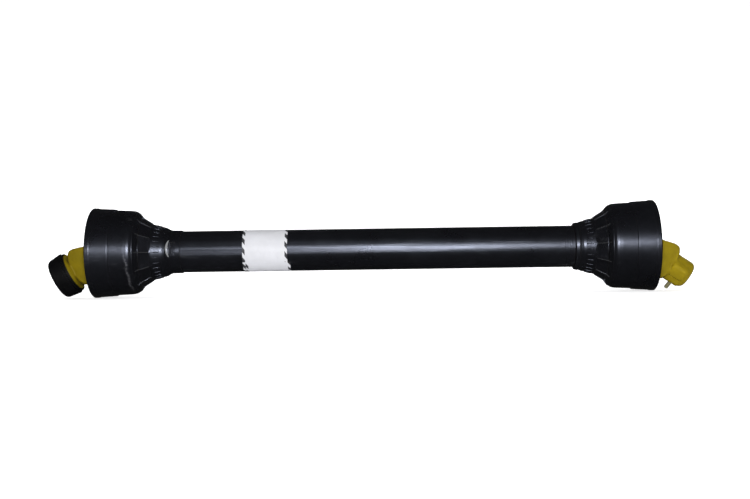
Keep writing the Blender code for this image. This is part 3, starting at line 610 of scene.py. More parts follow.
def guard_finish(name, look, scrape_and_highlight=False, drawn=0.0, stretch=(0.08, 1, 1), rubbed_pale=0.0):
    """Satin black plastic, moulded or drawn, with pale scuffs and dust in the corners. Where asked, a pale wavy
    line and a pale mix are laid on, each partly a painted highlight.
    """
    f = Finish(name, Specular_IOR_Level=0.75, Specular_Tint=(0.74, 0.80, 1.0, 1.0))
    cloud = f.noise(f.where, 9.0, 5.0, 0.6)
    scuffs = f.use("Scuffs", Stretch=stretch, Fineness=150.0, Amount=0.5)
    rubbed = f.use("Edge wear", Radius=0.0008, Amount=look.wear * 0.6, Grit=205.0)["Mask"]
    dust = f.use("Corner dirt", Reach=0.008, Amount=look.dirt * 0.2, Blotch=60.0)["Mask"]
    base = f.shades(cloud, look.guard, 0.75, 1.35)
    pale = f.maths("MAXIMUM", scuffs["Scratches"], rubbed)
    if scrape_and_highlight:
        # The wavy line is partly a scuff and partly a painted highlight.
        pale = f.maths("MAXIMUM", pale, wavy_scrape_and_highlight(f))
    base = f.blend(f.times(pale, 0.45), base, rgba(look.scuff_and_highlight))
    base = f.blend(dust, base, rgba((0.10, 0.085, 0.065)))
    # A pale mix over the whole piece: partly rubbing, partly a painted highlight.
    if rubbed_pale:
        base = f.blend(rubbed_pale, base, rgba((0.34, 0.35, 0.36)))
    f.set("Base Color", base)
    rough = f.spread(cloud, 0.3, 0.7, 0.25, 0.33)
    rough = f.maths("ADD", rough, f.times(scuffs["Patches"], 0.06))
    f.set("Roughness", f.plus(rough, f.maths("MAXIMUM", pale, dust), 0.25))
    peel = f.relief(f.use("Grain", Coarse=260.0, Fine=1500.0, Balance=0.45)["Height"], 0.12, 0.0004)
    if drawn:
        lines = f.noise(f.stretched(f.where, (0.004, 1, 1)), 900.0, 3.0, 0.6)
        peel = f.relief(lines, drawn, 0.0004, peel)
    f.set("Normal", f.relief(scuffs["Scratches"], 0.25, 0.0002, peel))
    return f.material


def wavy_scrape_and_highlight(f):
    """A pale wavy line along the lower front of the collar end's shoulder, where its highlight runs: partly a
    scuff, partly a painted highlight.
    """
    x, y, z = f.add("ShaderNodeSeparateXYZ", {0: f.where}).outputs
    wave = f.add("ShaderNodeCombineXYZ", {2: z}).outputs[0]
    wander = f.spread(f.noise(wave, 55.0, 4.0, 0.6), 0.3, 0.7, -0.0035, 0.0035)
    level = LEFT_CENTRE.z
    lean = f.spread(z, level - 0.075, level - 0.005, 0.006, -0.002)
    middle = LEFT_CENTRE.x - MOUTH_OVER + 0.0745
    off = f.maths("ABSOLUTE", f.maths("SUBTRACT", x, f.maths("ADD", f.maths("ADD", wander, lean), middle)))
    line = f.spread(off, 0.0030, 0.0006)
    front = f.spread(y, -0.025, -0.045)
    low = f.spread(z, level - 0.002, level - 0.010)
    broken = f.spread(f.noise(f.where, 260.0, 5.0, 0.7), 0.38, 0.60)
    return f.times(f.times(line, front), f.times(low, broken))


def paint_finish(name, look, shade=1.0):
    """Mustard paint over a forging, rubbed at the edges and greasy in the corners. Its lighter edges are partly
    a painted highlight, its dark corners partly painted shade, and a shade below 1 is painted shade all over.
    """
    f = Finish(name, Specular_IOR_Level=0.30, Specular_Tint=(1.0, 0.88, 0.42, 1.0))
    cloud = f.noise(f.where, 38.0, 5.0, 0.6)
    # Lighter paint on the outer edges: partly rubbed paint, partly a painted highlight.
    rubbed = f.use("Edge wear", Radius=0.0016, Amount=look.wear, Grit=190.0)["Mask"]
    bare = f.use("Edge wear", Radius=0.0007, Amount=look.wear * 0.8, Grit=420.0)["Mask"]
    # Darker in the inner corners and creases: partly grease, partly painted shade.
    grease = f.use("Corner dirt", Reach=0.009, Amount=look.dirt * 2.0, Blotch=70.0)["Mask"]
    runs = f.spread(f.noise(f.where, 95.0, 4.0, 0.6, 0.8), 0.60, 0.74)
    # A shade below 1 darkens the whole paint: painted shade.
    base = f.shades(cloud, look.paint, 0.80 * shade, 1.14 * shade, 0.32, 0.68)
    base = f.blend(f.times(rubbed, 0.75), base, rgba(look.worn_and_highlight, shade))
    base = f.blend(f.times(runs, 0.22), base, rgba(look.paint, 0.45))
    base = f.blend(grease, base, rgba((0.060, 0.044, 0.006)))
    bared = f.spread(bare, 0.44, 0.58)
    f.set("Base Color", f.blend(bared, base, rgba((0.34, 0.33, 0.31))))
    f.set("Metallic", bared)
    rough = f.spread(cloud, 0.3, 0.7, 0.40, 0.54)
    f.set("Roughness", f.maths("SUBTRACT", rough, f.times(grease, 0.16), clamp=True))
    skin = f.use("Grain", Coarse=210.0, Fine=820.0, Balance=0.35)["Height"]
    f.set("Normal", f.relief(bared, -0.3, 0.0002, f.relief(skin, 0.42, 0.0007)))
    return f.material


def steel_finish(name, tint, look, roughness, direction, rings, grease, metal):
    """Turned or ground steel: tool marks, a film of oil and a brown tinge in the corners."""
    f = Finish(name, metallic=1.0)
    cloud = f.noise(f.where, 60.0, 5.0, 0.6)
    marks = f.use("Turning marks", Direction=direction, Rings=rings)["Height"]
    dirt = f.use("Corner dirt", Reach=0.004, Amount=grease * look.dirt * 2, Blotch=120.0)["Mask"]
    base = f.shades(cloud, tint, 0.82, 1.12)
    base = f.blend(f.times(f.spread(marks, 0.35, 0.65), 0.25), base, rgba(tint, 0.6))
    f.set("Base Color", f.blend(dirt, base, rgba((0.10, 0.075, 0.045))))
    f.set("Metallic", f.spread(dirt, 0.0, 1.0, metal, metal * 0.45))
    f.set("Roughness", f.plus(f.spread(cloud, 0.3, 0.7, *roughness), dirt, 0.2))
    f.set("Normal", f.relief(marks, 0.25, 0.0001))
    return f.material


def tube_finish():
    """Drawn profile tube: mill scale drawn out along it, oiled, with light rust."""
    f = Finish("drawn tube", metallic=1.0)
    long = f.stretched(f.where, (0.04, 1, 1))
    streak = f.noise(long, 420.0, 4.0, 0.6)
    rust = f.spread(f.noise(f.where, 34.0, 6.0, 0.65), 0.52, 0.72)
    base = f.blend(f.spread(streak, 0.35, 0.65), rgba((0.19, 0.185, 0.18)), rgba((0.34, 0.33, 0.315)))
    f.set("Base Color", f.blend(f.times(rust, 0.55), base, rgba((0.16, 0.075, 0.035))))
    f.set("Metallic", f.spread(rust, 0.0, 1.0, 1.0, 0.35))
    f.set("Roughness", f.spread(streak, 0.3, 0.7, 0.32, 0.50))
    f.set("Normal", f.relief(streak, 0.25, 0.0002))
    return f.material


def collar_finish(look):
    """Hard black plastic of the collar, finely eroded, with rubbed edges."""
    f = Finish("collar plastic", Specular_IOR_Level=0.14)
    cloud = f.noise(f.where, 45.0, 5.0, 0.6)
    rubbed = f.use("Edge wear", Radius=0.0009, Amount=look.wear * 0.55, Grit=240.0)["Mask"]
    scuffs = f.use("Scuffs", Stretch=(1, 0.4, 1), Fineness=320.0, Amount=0.6)
    dust = f.use("Corner dirt", Reach=0.005, Amount=look.dirt * 0.16, Blotch=90.0)["Mask"]
    pale = f.maths("MAXIMUM", rubbed, scuffs["Scratches"])
    base = f.shades(cloud, look.collar, 0.8, 1.5)
    base = f.blend(f.times(pale, 0.2), base, rgba(look.scuff_and_highlight))
    f.set("Base Color", f.blend(dust, base, rgba((0.05, 0.045, 0.03))))
    f.set("Roughness", f.plus(f.spread(cloud, 0.3, 0.7, 0.44, 0.56), pale, 0.2))
    f.set("Normal", f.relief(f.use("Grain", Coarse=520.0, Fine=2200.0)["Height"], 0.35, 0.0003))
    return f.material


def nylon_finish(look):
    """Natural nylon, a little yellowed, greasy where it runs."""
    f = Finish("bearing nylon", Subsurface_Weight=0.08, Subsurface_Scale=0.002)
    cloud = f.noise(f.where, 50.0, 4.0, 0.6)
    grease = f.use("Corner dirt", Reach=0.006, Amount=look.dirt * 1.2, Blotch=70.0)["Mask"]
    base = f.shades(cloud, look.nylon, 0.9, 1.08)
    f.set("Base Color", f.blend(grease, base, rgba((0.16, 0.11, 0.05))))
    f.set("Roughness", f.spread(cloud, 0.3, 0.7, 0.36, 0.5))
    f.set("Normal", f.relief(f.use("Grain", Coarse=300.0, Fine=1500.0)["Height"], 0.15, 0.0003))
    return f.material


def rubber_finish():
    """Matt nitrile rubber with a bloom on it."""
    f = Finish("seal rubber")
    cloud = f.noise(f.where, 300.0, 5.0, 0.6)
    fresh, bloom = (0.016, 0.016, 0.016), (0.05, 0.048, 0.044)
    f.set("Base Color", f.blend(f.spread(cloud, 0.35, 0.7), rgba(fresh), rgba(bloom)))
    f.set("Roughness", f.spread(cloud, 0.3, 0.7, 0.58, 0.80))
    f.set("Normal", f.relief(f.use("Grain", Coarse=900.0, Fine=3000.0)["Height"], 0.3, 0.0002))
    return f.material


def label_finish(look, settings):
    """Pale film with a border of slanted dark dashes at both ends, on the wrap's own map."""
    f = Finish("label film", Specular_IOR_Level=0.15)
    u, v = f.add("ShaderNodeSeparateXYZ", {0: f.add("ShaderNodeUVMap", uv_map="wrap").outputs[0]}).outputs[:2]
    cloud = f.noise(f.where, 40.0, 5.0, 0.6)
    end = f.maths("MINIMUM", u, f.maths("SUBTRACT", settings.label_length, u))
    ragged = f.spread(f.noise(f.where, 900.0, 3.0, 0.6), 0.3, 0.7, -0.0002, 0.0002)
    dash_length, dash_lean = 0.0050, 1.35
    band = f.spread(f.maths("ADD", end, ragged), dash_length, dash_length - 0.0004)
    slant = f.maths("SUBTRACT", v, f.times(u, dash_lean))
    turn = f.maths("FRACT", f.maths("DIVIDE", slant, settings.dash_pitch))
    dash = f.times(f.spread(turn, 0.44, 0.47), f.spread(turn, 0.99, 0.96))
    ink = f.times(f.times(band, dash), 0.95)
    base = f.shades(cloud, look.film, 0.94, 1.04)
    smudge = f.spread(f.noise(f.where, 75.0, 6.0, 0.7), 0.60, 0.80)
    base = f.blend(f.times(smudge, 0.12), base, rgba((0.30, 0.29, 0.28)))
    f.set("Base Color", f.blend(ink, base, rgba((0.018, 0.018, 0.022))))
    f.set("Roughness", f.spread(cloud, 0.3, 0.7, 0.30, 0.42))
    waves = f.noise(f.stretched(f.where, (1, 0.5, 0.5)), 60.0, 3.0, 0.5)
    f.set("Normal", f.relief(waves, 0.12, 0.001))
    return f.material


def make_finishes(look, guard):
    """The shared effects first, and then every finish that is made of them."""
    for build in (edge_wear_and_highlight_group, corner_dirt_and_shade_group, scuffs_group, grain_group, rings_group):
        tree = build()
        GROUPS[tree.name] = tree
    guard_finish("guard plastic", look)
    guard_finish("guard plastic, scraped", look, scrape_and_highlight=True)
    # Pale finishes for the cone's ridges and the window's lip: partly rubbing, partly a painted highlight.
    guard_finish("guard plastic, rubbed", look, rubbed_pale=0.08)
    guard_finish("guard plastic, rubbed pale", look, rubbed_pale=0.70)
    guard_finish("guard tube plastic", look, drawn=0.5, stretch=(0.05, 1, 1))
    paint_finish("yoke paint", look)
    # A darker copy of the yoke paint for the collar fork: painted shade.
    paint_finish("yoke paint, dull", look, 0.75)
    collar_finish(look)
    nylon_finish(look)
    rubber_finish()
    label_finish(look, guard)
    tube_finish()
    spring, pin, brass = (0.14, 0.14, 0.15), (0.34, 0.32, 0.18), (0.66, 0.52, 0.22)
    for name, tint, roughness, direction, rings, grease, metal in (
        ("machined steel", look.steel, (0.28, 0.44), (0.9, 0.1, 0.4), 3000.0, 0.8, 1.0),
        ("bearing steel", look.steel, (0.18, 0.32), (0.1, 1, 0.1), 4200.0, 0.6, 1.0),
        ("spring steel", spring, (0.30, 0.46), (1, 0.3, 0.2), 1800.0, 0.5, 1.0),
        ("pin steel", pin, (0.30, 0.46), (0.45, -0.57, 0.68), 2600.0, 0.4, 0.25),
        ("nipple brass", brass, (0.22, 0.38), (0, 0.7, 0.7), 3600.0, 0.4, 1.0),
    ):
        steel_finish(name, tint, look, roughness, direction, rings, grease, metal)


# Geometry Nodes


def modifier_tree(name, *inputs):
    """An empty modifier tree that takes its own inputs and a finish, and puts out geometry."""
    tree, net, given, out = group(
        name, [*inputs, ("Finish", "NodeSocketMaterial", None)], [("Geometry", "NodeSocketGeometry")],
        "GeometryNodeTree",
    )
    tree.is_modifier = True
    return tree, net, given, out


def made_real(net, geometry, finish, out):
    """Ends a tree with real geometry that has its finish."""
    real = net.add("GeometryNodeRealizeInstances", {0: geometry}).outputs[0]
    net.feed(out["Geometry"], net.add("GeometryNodeSetMaterial", {0: real, "Material": finish}).outputs[0])


def repeat_tree():
    """Sets copies of an object at equal angles about the X axis."""
    tree, net, given, out = modifier_tree(
        "Repeat about an axis",
        ("Piece", "NodeSocketObject", None), ("Count", "NodeSocketInt", 2), ("First", FLOAT, 0.0),
    )
    points = net.add("GeometryNodeMeshLine", {"Count": given["Count"], "Offset": (0, 0, 0)}).outputs[0]
    step = net.maths("DIVIDE", math.tau, given["Count"])
    index = net.add("GeometryNodeInputIndex").outputs[0]
    angle = net.maths("ADD", net.times(index, step), given["First"])
    euler = net.add("ShaderNodeCombineXYZ", {0: angle}).outputs[0]
    turn = net.add("FunctionNodeEulerToRotation", {0: euler}).outputs[0]
    source = net.add("GeometryNodeObjectInfo", {"Object": given["Piece"]}).outputs["Geometry"]
    feeds = {"Points": points, "Instance": source, "Rotation": turn}
    made_real(net, net.add("GeometryNodeInstanceOnPoints", feeds).outputs[0], given["Finish"], out)
    return tree


def coil_tree():
    """A wire coil along Z whose end turns lie closer, as on a compression spring."""
    tree, net, given, out = modifier_tree(
        "Coil spring",
        ("Turns", FLOAT, 3.0), ("Length", FLOAT, 0.01), ("Coil radius", FLOAT, 0.01),
        ("Wire radius", FLOAT, 0.001), ("Closing", FLOAT, 0.5),
    )
    spiral = net.add("GeometryNodeCurveSpiral", {
        "Resolution": 48, "Rotations": given["Turns"], "Start Radius": given["Coil radius"],
        "End Radius": given["Coil radius"], "Height": given["Length"],
    }).outputs[0]
    along = net.add("GeometryNodeSplineParameter").outputs["Factor"]
    wave = net.maths("SINE", net.times(along, math.tau))
    shift = net.times(net.times(wave, given["Closing"]), net.times(given["Length"], -1 / math.tau))
    offset = net.add("ShaderNodeCombineXYZ", {2: shift}).outputs[0]
    lifted = net.add("GeometryNodeSetPosition", {0: spiral, "Offset": offset}).outputs[0]
    section = net.add("GeometryNodeCurvePrimitiveCircle", {"Resolution": 16, "Radius": given["Wire radius"]})
    feeds = {"Curve": lifted, "Profile Curve": section.outputs[0], "Fill Caps": True}
    made_real(net, net.add("GeometryNodeCurveToMesh", feeds).outputs[0], given["Finish"], out)
    return tree


def grown(name, tree, place, smooth=38, **values):
    """A plain mesh made by a tree, with the tree's inputs set by name, in its place."""
    host = bpy.data.objects.new(name, bpy.data.meshes.new(name))
    bpy.context.scene.collection.objects.link(host)
    modifier = host.modifiers.new(tree.name, "NODES")
    modifier.node_group = tree
    for item in tree.interface.items_tree:
        label = item.name.replace(" ", "_")
        if item.in_out == "INPUT" and label in values:
            modifier[item.identifier] = values[label]
    settled(host)
    host.data.transform(place)
    return shaded(host, smooth)


def repeated(name, bm, finish, count, place, first=0.0):
    """Copies of one mesh at equal angles about X."""
    seed = piece(name + "_seed", bm)
    made = grown(name, GROUPS["Repeat about an axis"], place,
                 Piece=seed, Count=count, First=first, Finish=finish)
    bpy.data.objects.remove(seed)
    return made


# Guard


def bell_outside(rim):
    """The outside of a bell from its mouth to the start of the cone, as (from mouth, radius, rounding)."""
    return [
        (0.0, rim - 0.0014, 0.0004), (0.0014, rim, 0.0009), (0.0080, rim - 0.0001, 0.0004),
        (0.0093, rim - 0.0005, 0.0003), (0.0098, rim - 0.0011, 0.0003), (0.0405, 0.0820, 0.0004),
        (0.0421, 0.0815, 0.0004), (0.0433, 0.0803, 0.0005), (0.0700, 0.0791, 0.003), (0.0760, 0.0786, 0.003),
        (0.0800, 0.0776, 0.003), (0.0828, 0.0761, 0.001), (0.0845, 0.0748, 0.0004), (0.0858, 0.0744, 0.0003),
        (0.0866, 0.0733, 0.0004), (0.0885, 0.0708, 0.002), (0.0921, 0.0660, 0.0008), (0.0931, 0.0626, 0.0004),
        (0.0938, 0.0625, 0.0004),
    ]


def neck_outside():
    """The cone, the smooth ring, the ribbed band and the glossy band."""
    return [
        (0.0944, 0.0637), (0.0980, 0.0615), (0.1020, 0.0591), (0.1060, 0.0567), (0.1100, 0.0542),
        (0.1124, 0.0528, 0.002), (BAND_START, BAND_START_R, 0.002), (BAND_END, BAND_END_R, 0.003),
        (0.1350, 0.0466, 0.002), (0.1392, 0.0450, 0.0015), (0.1412, 0.0436, 0.0008),
    ]


def bell_inside(rim, wall):
    """The inside of a bell from its neck back to the mouth."""
    return [
        (BAND_END, BAND_END_R - wall), (0.1165, 0.0512 - wall), (0.1120, 0.0530 - wall - 0.0008, 0.002),
        (0.0920, 0.0596, 0.002), (0.0830, 0.0735, 0.004), (0.0795, 0.0786 - wall, 0.003),
        (0.0436, 0.0801 - wall, 0.001), (0.0418, 0.0810 - wall, 0.001), (0.0014, rim - wall, 0.0005),
        (0.0, rim - wall + 0.0004, 0.0004),
    ]


def sleeve_tail(wall):
    """The collar end's bell runs out in a sleeve over the outer guard tube."""
    inner = OUTER_GUARD_R + GAP
    outer = inner + 0.0013
    return [
        (0.1450, outer + 0.0012, 0.002), (0.1480, outer + 0.0002, 0.001), (SLEEVE_END - 0.0010, outer, 0.0005),
        (SLEEVE_END, outer - 0.0009, 0.0003), (SLEEVE_END, inner), (0.1460, inner), (0.1400, 0.0450 - wall),
    ]


def collar_tail(wall):
    """The pin end's bell ends in a closed collar round the inner guard tube."""
    inner = INNER_GUARD_R + GAP
    return [
        (0.1425, 0.0448, 0.0006), (0.1480, 0.0437, 0.0008), (COLLAR_END, 0.0428, 0.0006),
        (COLLAR_END, inner, 0.0004), (COLLAR_END - wall, inner), (COLLAR_END - wall, 0.0436 - wall, 0.001),
        (0.1410, 0.0450 - wall),
    ]


def bell(name, s, tail, finish):
    """A guard bell in its own frame: rim, drum, shoulder, panelled cone, neck and tail."""
    outside = bell_outside(s.rim_radius) + neck_outside()
    profile = rounded(outside + tail + bell_inside(s.rim_radius, s.wall), 5)
    span = math.tau / s.panels
    cone_start, cone_end, cone_r, slope, skin, run_out = 0.0941, 0.1135, 0.0700, 0.62, 0.0085, 0.0018

    def pressed(x, r, angle):
        """Presses the outside of the cone flat between its ridges."""
        if cone_start < x < cone_end and r > cone_r - (x - cone_start) * slope - skin:
            fade = min(1.0, (cone_end + 0.0005 - x) / run_out)
            flat = math.cos(span / 2) / math.cos(angle % span - span / 2)
            r *= 1 + (flat - 1) * fade
        return x - MOUTH_OVER, r

    return piece(name, turned(profile, 24 * s.panels, shape=pressed), finish)


def ribs_and_ridges(side, s, finish, place, body):
    """The short ribs of the neck and the raised edges of the cone's flats."""
    start, end = BAND_START + 0.0018, BAND_END - 0.0008
    slope = (BAND_END_R - BAND_START_R) / (BAND_END - BAND_START)
    along = [start + (end - start) * t for t in (0, 0.07, 0.2, 0.5, 0.8, 0.93, 1)]
    path = [(x - MOUTH_OVER, BAND_START_R + slope * (x - BAND_START)) for x in along]
    rib = bar(path, s.rib_width, s.rib_height)
    made = repeated(f"{side}_bell_ribs", rib, finish, s.ribs, place, math.pi / s.ribs)
    finished(made, body, "guard_plastic")
    edge = [(0.0886, 0.0703), (0.0892, 0.0700), (0.0918, 0.0664), (0.0945, 0.0639), (0.1000, 0.0603),
            (0.1060, 0.0567), (0.1110, 0.0536), (0.1122, 0.0529)]
    ridge = bar([(x - MOUTH_OVER, r) for x, r in edge], s.ridge_width, s.ridge_height, 0.0012)
    # The ridges' pale finish is partly a painted highlight.
    made = repeated(f"{side}_bell_ridges", ridge, FINISHES["guard plastic, rubbed"], s.panels, place)
    finished(made, body, "guard_plastic")


def cut_window(made, finish, floor=0.006, tilt=0.0):
    """The small window in the sleeve of the collar end's bell, or the flat under it in the tube."""
    start, half = WINDOW_START - MOUTH_OVER, WINDOW_WIDTH / 2
    end = start + WINDOW_LENGTH
    outline = rounded([(-half, start, 0.004), (half, start, 0.004), (half, end, 0.003), (-half, end, 0.003)], 6)
    cutter = piece("window", prism(outline, -OUTER_GUARD_R - 0.01, -OUTER_GUARD_R + floor, "Y"), finish)
    middle = Matrix.Translation((start + WINDOW_LENGTH / 2, -OUTER_GUARD_R, 0))
    moved(cutter, middle @ Matrix.Rotation(-tilt, 4, "Z") @ middle.inverted())
    return combined(made, moved(cutter, Matrix.Rotation(-WINDOW_TURN, 4, "X")))


def window_lip(finish):
    """The raised curved lip on the mouth side of the window, thickest in its middle."""
    bm = bmesh.new()
    rings = []
    count, around = 40, 10
    edge, bow = WINDOW_START - MOUTH_OVER - 0.0005, 0.0040
    for i in range(count + 1):
        t = 2 * i / count - 1
        angle = WINDOW_TURN + t * (WINDOW_WIDTH / 2 + 0.0015) / OUTER_GUARD_R
        x = edge - bow * (1 - t * t)
        radius = 0.0437 - 0.0010 * abs(t)
        half, thick = 0.0025 * (1 - 0.70 * t * t), 0.0011 * (1 - 0.8 * t**4)
        ring = []
        for k in range(around):
            turn = math.tau * k / around
            r = radius + thick * math.sin(turn)
            ring.append(bm.verts.new((x + half * math.cos(turn), -r * math.cos(angle), r * math.sin(angle))))
        rings.append(ring)
    return piece("left_window_lip", skinned(bm, rings), finish, LEFT)


def make_bells(s):
    """Both bells. The pin end's is rolled a little against the collar end's."""
    # The collar end's bell and its ribs take the finish with the wavy line, partly a painted highlight.
    plain, scraped_and_highlit = FINISHES["guard plastic"], FINISHES["guard plastic, scraped"]
    left = bell("left_bell_shell", s, sleeve_tail(s.wall), scraped_and_highlit)
    cut_window(left, plain)
    shaded(moved(left, LEFT))
    finished(left, "left_guard", "guard_plastic", "left_bell")
    # The window's lip is pale: partly rubbing, partly a painted highlight.
    finished(window_lip(FINISHES["guard plastic, rubbed pale"]), "left_guard", "guard_plastic")
    ribs_and_ridges("left", s, scraped_and_highlit, LEFT, "left_guard")
    rolled = RIGHT @ Matrix.Rotation(math.radians(5), 4, "X")
    right = moved(bell("right_bell_shell", s, collar_tail(s.wall), plain), rolled)
    finished(right, "right_guard", "guard_plastic", "right_bell")
    ribs_and_ridges("right", s, plain, rolled, "right_guard")


def guard_tube(name, r, wall, end, place, rings=()):
    """A plain guard tube with its ends softened, and rings round it where they are given."""
    inner, soft = r - wall, 0.0003
    profile = [(GUARD_START, r, soft), *rings, (end, r, soft), (end, inner, soft), (GUARD_START, inner, soft)]
    return piece(name, turned(rounded(profile, 2), 160), FINISHES["guard tube plastic"], place)


def make_guard_tubes():
    """The outer tube with four fine rings near its far end, and the inner tube that slides in it."""
    r, rings = OUTER_GUARD_R, []
    for x in (0.8555, 0.8600, 0.8645, 0.8690):
        rings += [(x - 0.0008, r), (x - 0.0003, r + 0.00025), (x + 0.0003, r + 0.00025), (x + 0.0008, r)]
    end = JOINT_SPAN - (COLLAR_END - MOUTH_OVER) - 0.0005
    tube = guard_tube("outer_guard_sleeve", r, OUTER_GUARD_WALL, end, None, rings)
    cut_window(tube, FINISHES["guard plastic"], 0.0012, math.radians(11))
    finished(shaded(moved(tube, LEFT)), "left_guard", "guard_plastic", "outer_guard_tube")
    tube = guard_tube("inner_guard_sleeve", INNER_GUARD_R, INNER_GUARD_WALL, JOINT_SPAN - TUBE_BACKSET, RIGHT)
    finished(tube, "right_guard", "guard_plastic", "inner_guard_tube")


def wrap(start, low, high, first, sweep, steps, span):
    """A strip of film round the tube, with a map in metres: along it, and round it."""
    bm = bmesh.new()
    layer = bm.loops.layers.uv.new("wrap")
    long = [0.0, 0.0002] + [span * k / 8 for k in range(1, 8)] + [span - 0.0002, span]
    skins = []
    for radius in (high, low):
        skins.append([[bm.verts.new((start + u, -radius * math.sin(a), radius * math.cos(a))) for u in long]
                      for a in (first + sweep * i / steps for i in range(steps + 1))])
    top, bottom = skins

    def quad(corners, places):
        face = bm.faces.new(corners)
        for loop, place in zip(face.loops, places):
            loop[layer].uv = place

    for i in range(steps):
        v0, v1 = (high * (first + sweep * (i + k) / steps) for k in (0, 1))
        for k in range(len(long) - 1):
            places = [(long[k], v0), (long[k + 1], v0), (long[k + 1], v1), (long[k], v1)]
            quad([top[i][k], top[i][k + 1], top[i + 1][k + 1], top[i + 1][k]], places)
            quad([bottom[i][k], bottom[i + 1][k], bottom[i + 1][k + 1], bottom[i][k + 1]],
                 [places[0], places[3], places[2], places[1]])
        for k in (0, len(long) - 1):
            quad([top[i][k], top[i + 1][k], bottom[i + 1][k], bottom[i][k]],
                 [(long[k], v0), (long[k], v1), (long[k], v1), (long[k], v0)])
    for i in (0, steps):
        for k in range(len(long) - 1):
            v = high * (first + sweep * i / steps)
            quad([top[i][k], top[i][k + 1], bottom[i][k + 1], bottom[i][k]],
                 [(long[k], v), (long[k + 1], v), (long[k + 1], v), (long[k], v)])
    return bm


def make_label(s):
    """The wrap, and the strip at its lower front where it overlaps itself a little askew."""
    finish = FINISHES["label film"]
    low, high = OUTER_GUARD_R + 0.00015, OUTER_GUARD_R + 0.0004
    first, lap_sweep, askew = math.radians(123), math.radians(45), 0.0049
    whole = wrap(s.label_start, low, high, first, math.tau - 0.001, 160, s.label_length)
    made = piece("label_wrap", whole, finish, LEFT)
    finished(made, "left_guard", "label_film", "tube_label")
    lap = wrap(s.label_start + askew, high + 0.00005, high + 0.0003, first, lap_sweep, 40, s.label_length)
    finished(piece("label_overlap", lap, finish, LEFT), "left_guard", "label_film")


def neck_seat(x):
    """Radius of the bell's inside where the bearing sits, at a distance from the joint's centre."""
    points = ((0.0920, 0.0596), (0.1120, 0.0498), (0.1165, 0.0488), (0.1310, 0.0448))
    along = x + MOUTH_OVER
    for (x0, r0), (x1, r1) in zip(points, points[1:]):
        if x0 <= along <= x1:
            return r0 + (r1 - r0) * (along - x0) / (x1 - x0) - GAP
    return points[-1][1] - GAP


def make_guard_bearing(name, node, body, place, socket_r, guard_inner):
    """A nylon ring whose lip runs in the fork's groove, with a spigot for the guard tube."""
    low, high = GROOVE_START + GAP, GROOVE_START + GROOVE_WIDTH - GAP
    lip, web = socket_r - GROOVE_DEPTH + 0.0006, GROOVE_START + GROOVE_WIDTH - GAP - 0.003
    spigot, spigot_end = guard_inner - GAP, GUARD_START + 0.010
    soft = 0.0006
    profile = [
        (low, lip, soft), (low, socket_r + 0.0030, soft), (web, socket_r + 0.0030, soft),
        (web, neck_seat(web) - 0.0040, soft), (low, neck_seat(low) - 0.0040, soft), (low, neck_seat(low), soft),
        *[(x, neck_seat(x)) for x in (0.0870, 0.0915)], (high, neck_seat(high), soft),
        (high, spigot, soft), (spigot_end, spigot, 0.0003), (spigot_end, spigot - 0.0014, 0.0003),
        (high, spigot - 0.0014), (high, lip, soft),
    ]
    made = piece(name, turned(rounded(profile), 128), FINISHES["bearing nylon"], place)
    finished(made, body, "bearing_nylon", node)


# Profile tubes


def lobed(radius):
    """The three-lobed outline of a profile tube."""
    points, steps = [], 96
    for i in range(steps):
        angle = math.tau * i / steps
        r = radius + TUBE_LOBE * math.cos(3 * angle)
        points.append((r * math.sin(angle), r * math.cos(angle)))
    return points


def cross_hole(finish):
    """What drills the hole for a roll pin through fork and tube."""
    hole = turned(rod(-0.05, 0.05, ROLL_PIN_R + 0.0001), 48, "Y")
    return piece("hole", hole, finish, Matrix.Translation((ROLL_PIN_X, 0, 0)))


def make_profile_tube(name, node, body, place, radius):
    """A three-lobed tube with the hole for its pin."""
    low, high = SOCKET_FLOOR + GAP, JOINT_SPAN - TUBE_BACKSET
    steel, cut = FINISHES["drawn tube"], FINISHES["machined steel"]
    made = piece(name, prism(lobed(radius), low, high), steel)
    bore = piece("bore", prism(lobed(radius - TUBE_WALL), low - 0.01, high + 0.01), steel)
    combined(made, bore)
    combined(made, cross_hole(cut))
    shaded(moved(made, place))
    finished(made, body, "tube_steel", node)


def make_roll_pin(name, node, body, place, socket_r):
    """A spring pin with its slit and chamfered ends."""
    half, r, wall, slit = socket_r - 0.0006, ROLL_PIN_R, 0.0020, math.radians(24)
    profile = [(half - 0.0016, r), (half, r - 0.0009, 0.0003), (half, r - wall), (-half, r - wall),
               (-half, r - 0.0009, 0.0003), (-half + 0.0016, r)]
    bm = turned(rounded(profile), 60, "Y", slit / 2, math.tau - slit)
    made = piece(name, bm, FINISHES["spring steel"], place @ Matrix.Translation((ROLL_PIN_X, 0, 0)))
    finished(made, body, "spring_steel", node)


# Forks. Each is forged with its ears along Z, and the outer two are then rolled a quarter turn.


def face_outline(shoulders):
    """The fork seen along its ears: a round nose, then the (along, half width) shoulders."""
    turns = [math.radians(180 - i * 4) for i in range(22)]
    half = [(NOSE_R * math.cos(a), NOSE_R * math.sin(a)) for a in turns] + shoulders
    return half + [(x, -w) for x, w in reversed(half[1:])]


def fork_cutters():
    """What the forging dies leave open: the room between the ears, the noses' and the flanks' bevels."""
    room = [(-EAR_IN, 0), (-EAR_IN, CROTCH_R, 0.0055), (EAR_IN, CROTCH_R, 0.0055), (EAR_IN, 0)]
    yield piece("slot", turned(rounded(room, 8), 128, "Z"))
    wide, bevel, clear = NOSE_R + 0.003, 0.0100, 0.001
    near, far, low, high = 0.0170, 0.0310, EAR_IN, EAR_IN + 0.0130
    for side in (-1, 1):
        flat = EAR_OUT + clear
        profile = [(side * flat, NOSE_R - bevel), (side * flat, wide), (side * (EAR_OUT - 0.0062), wide)]
        yield piece("nose", turned(profile, 48, "Z", 0.0, math.pi))
        outline = [(side * near, -low), (side * far, -high), (side * far, high), (side * near, low)]
        yield piece("flank", prism(outline, -0.03, 0.030))


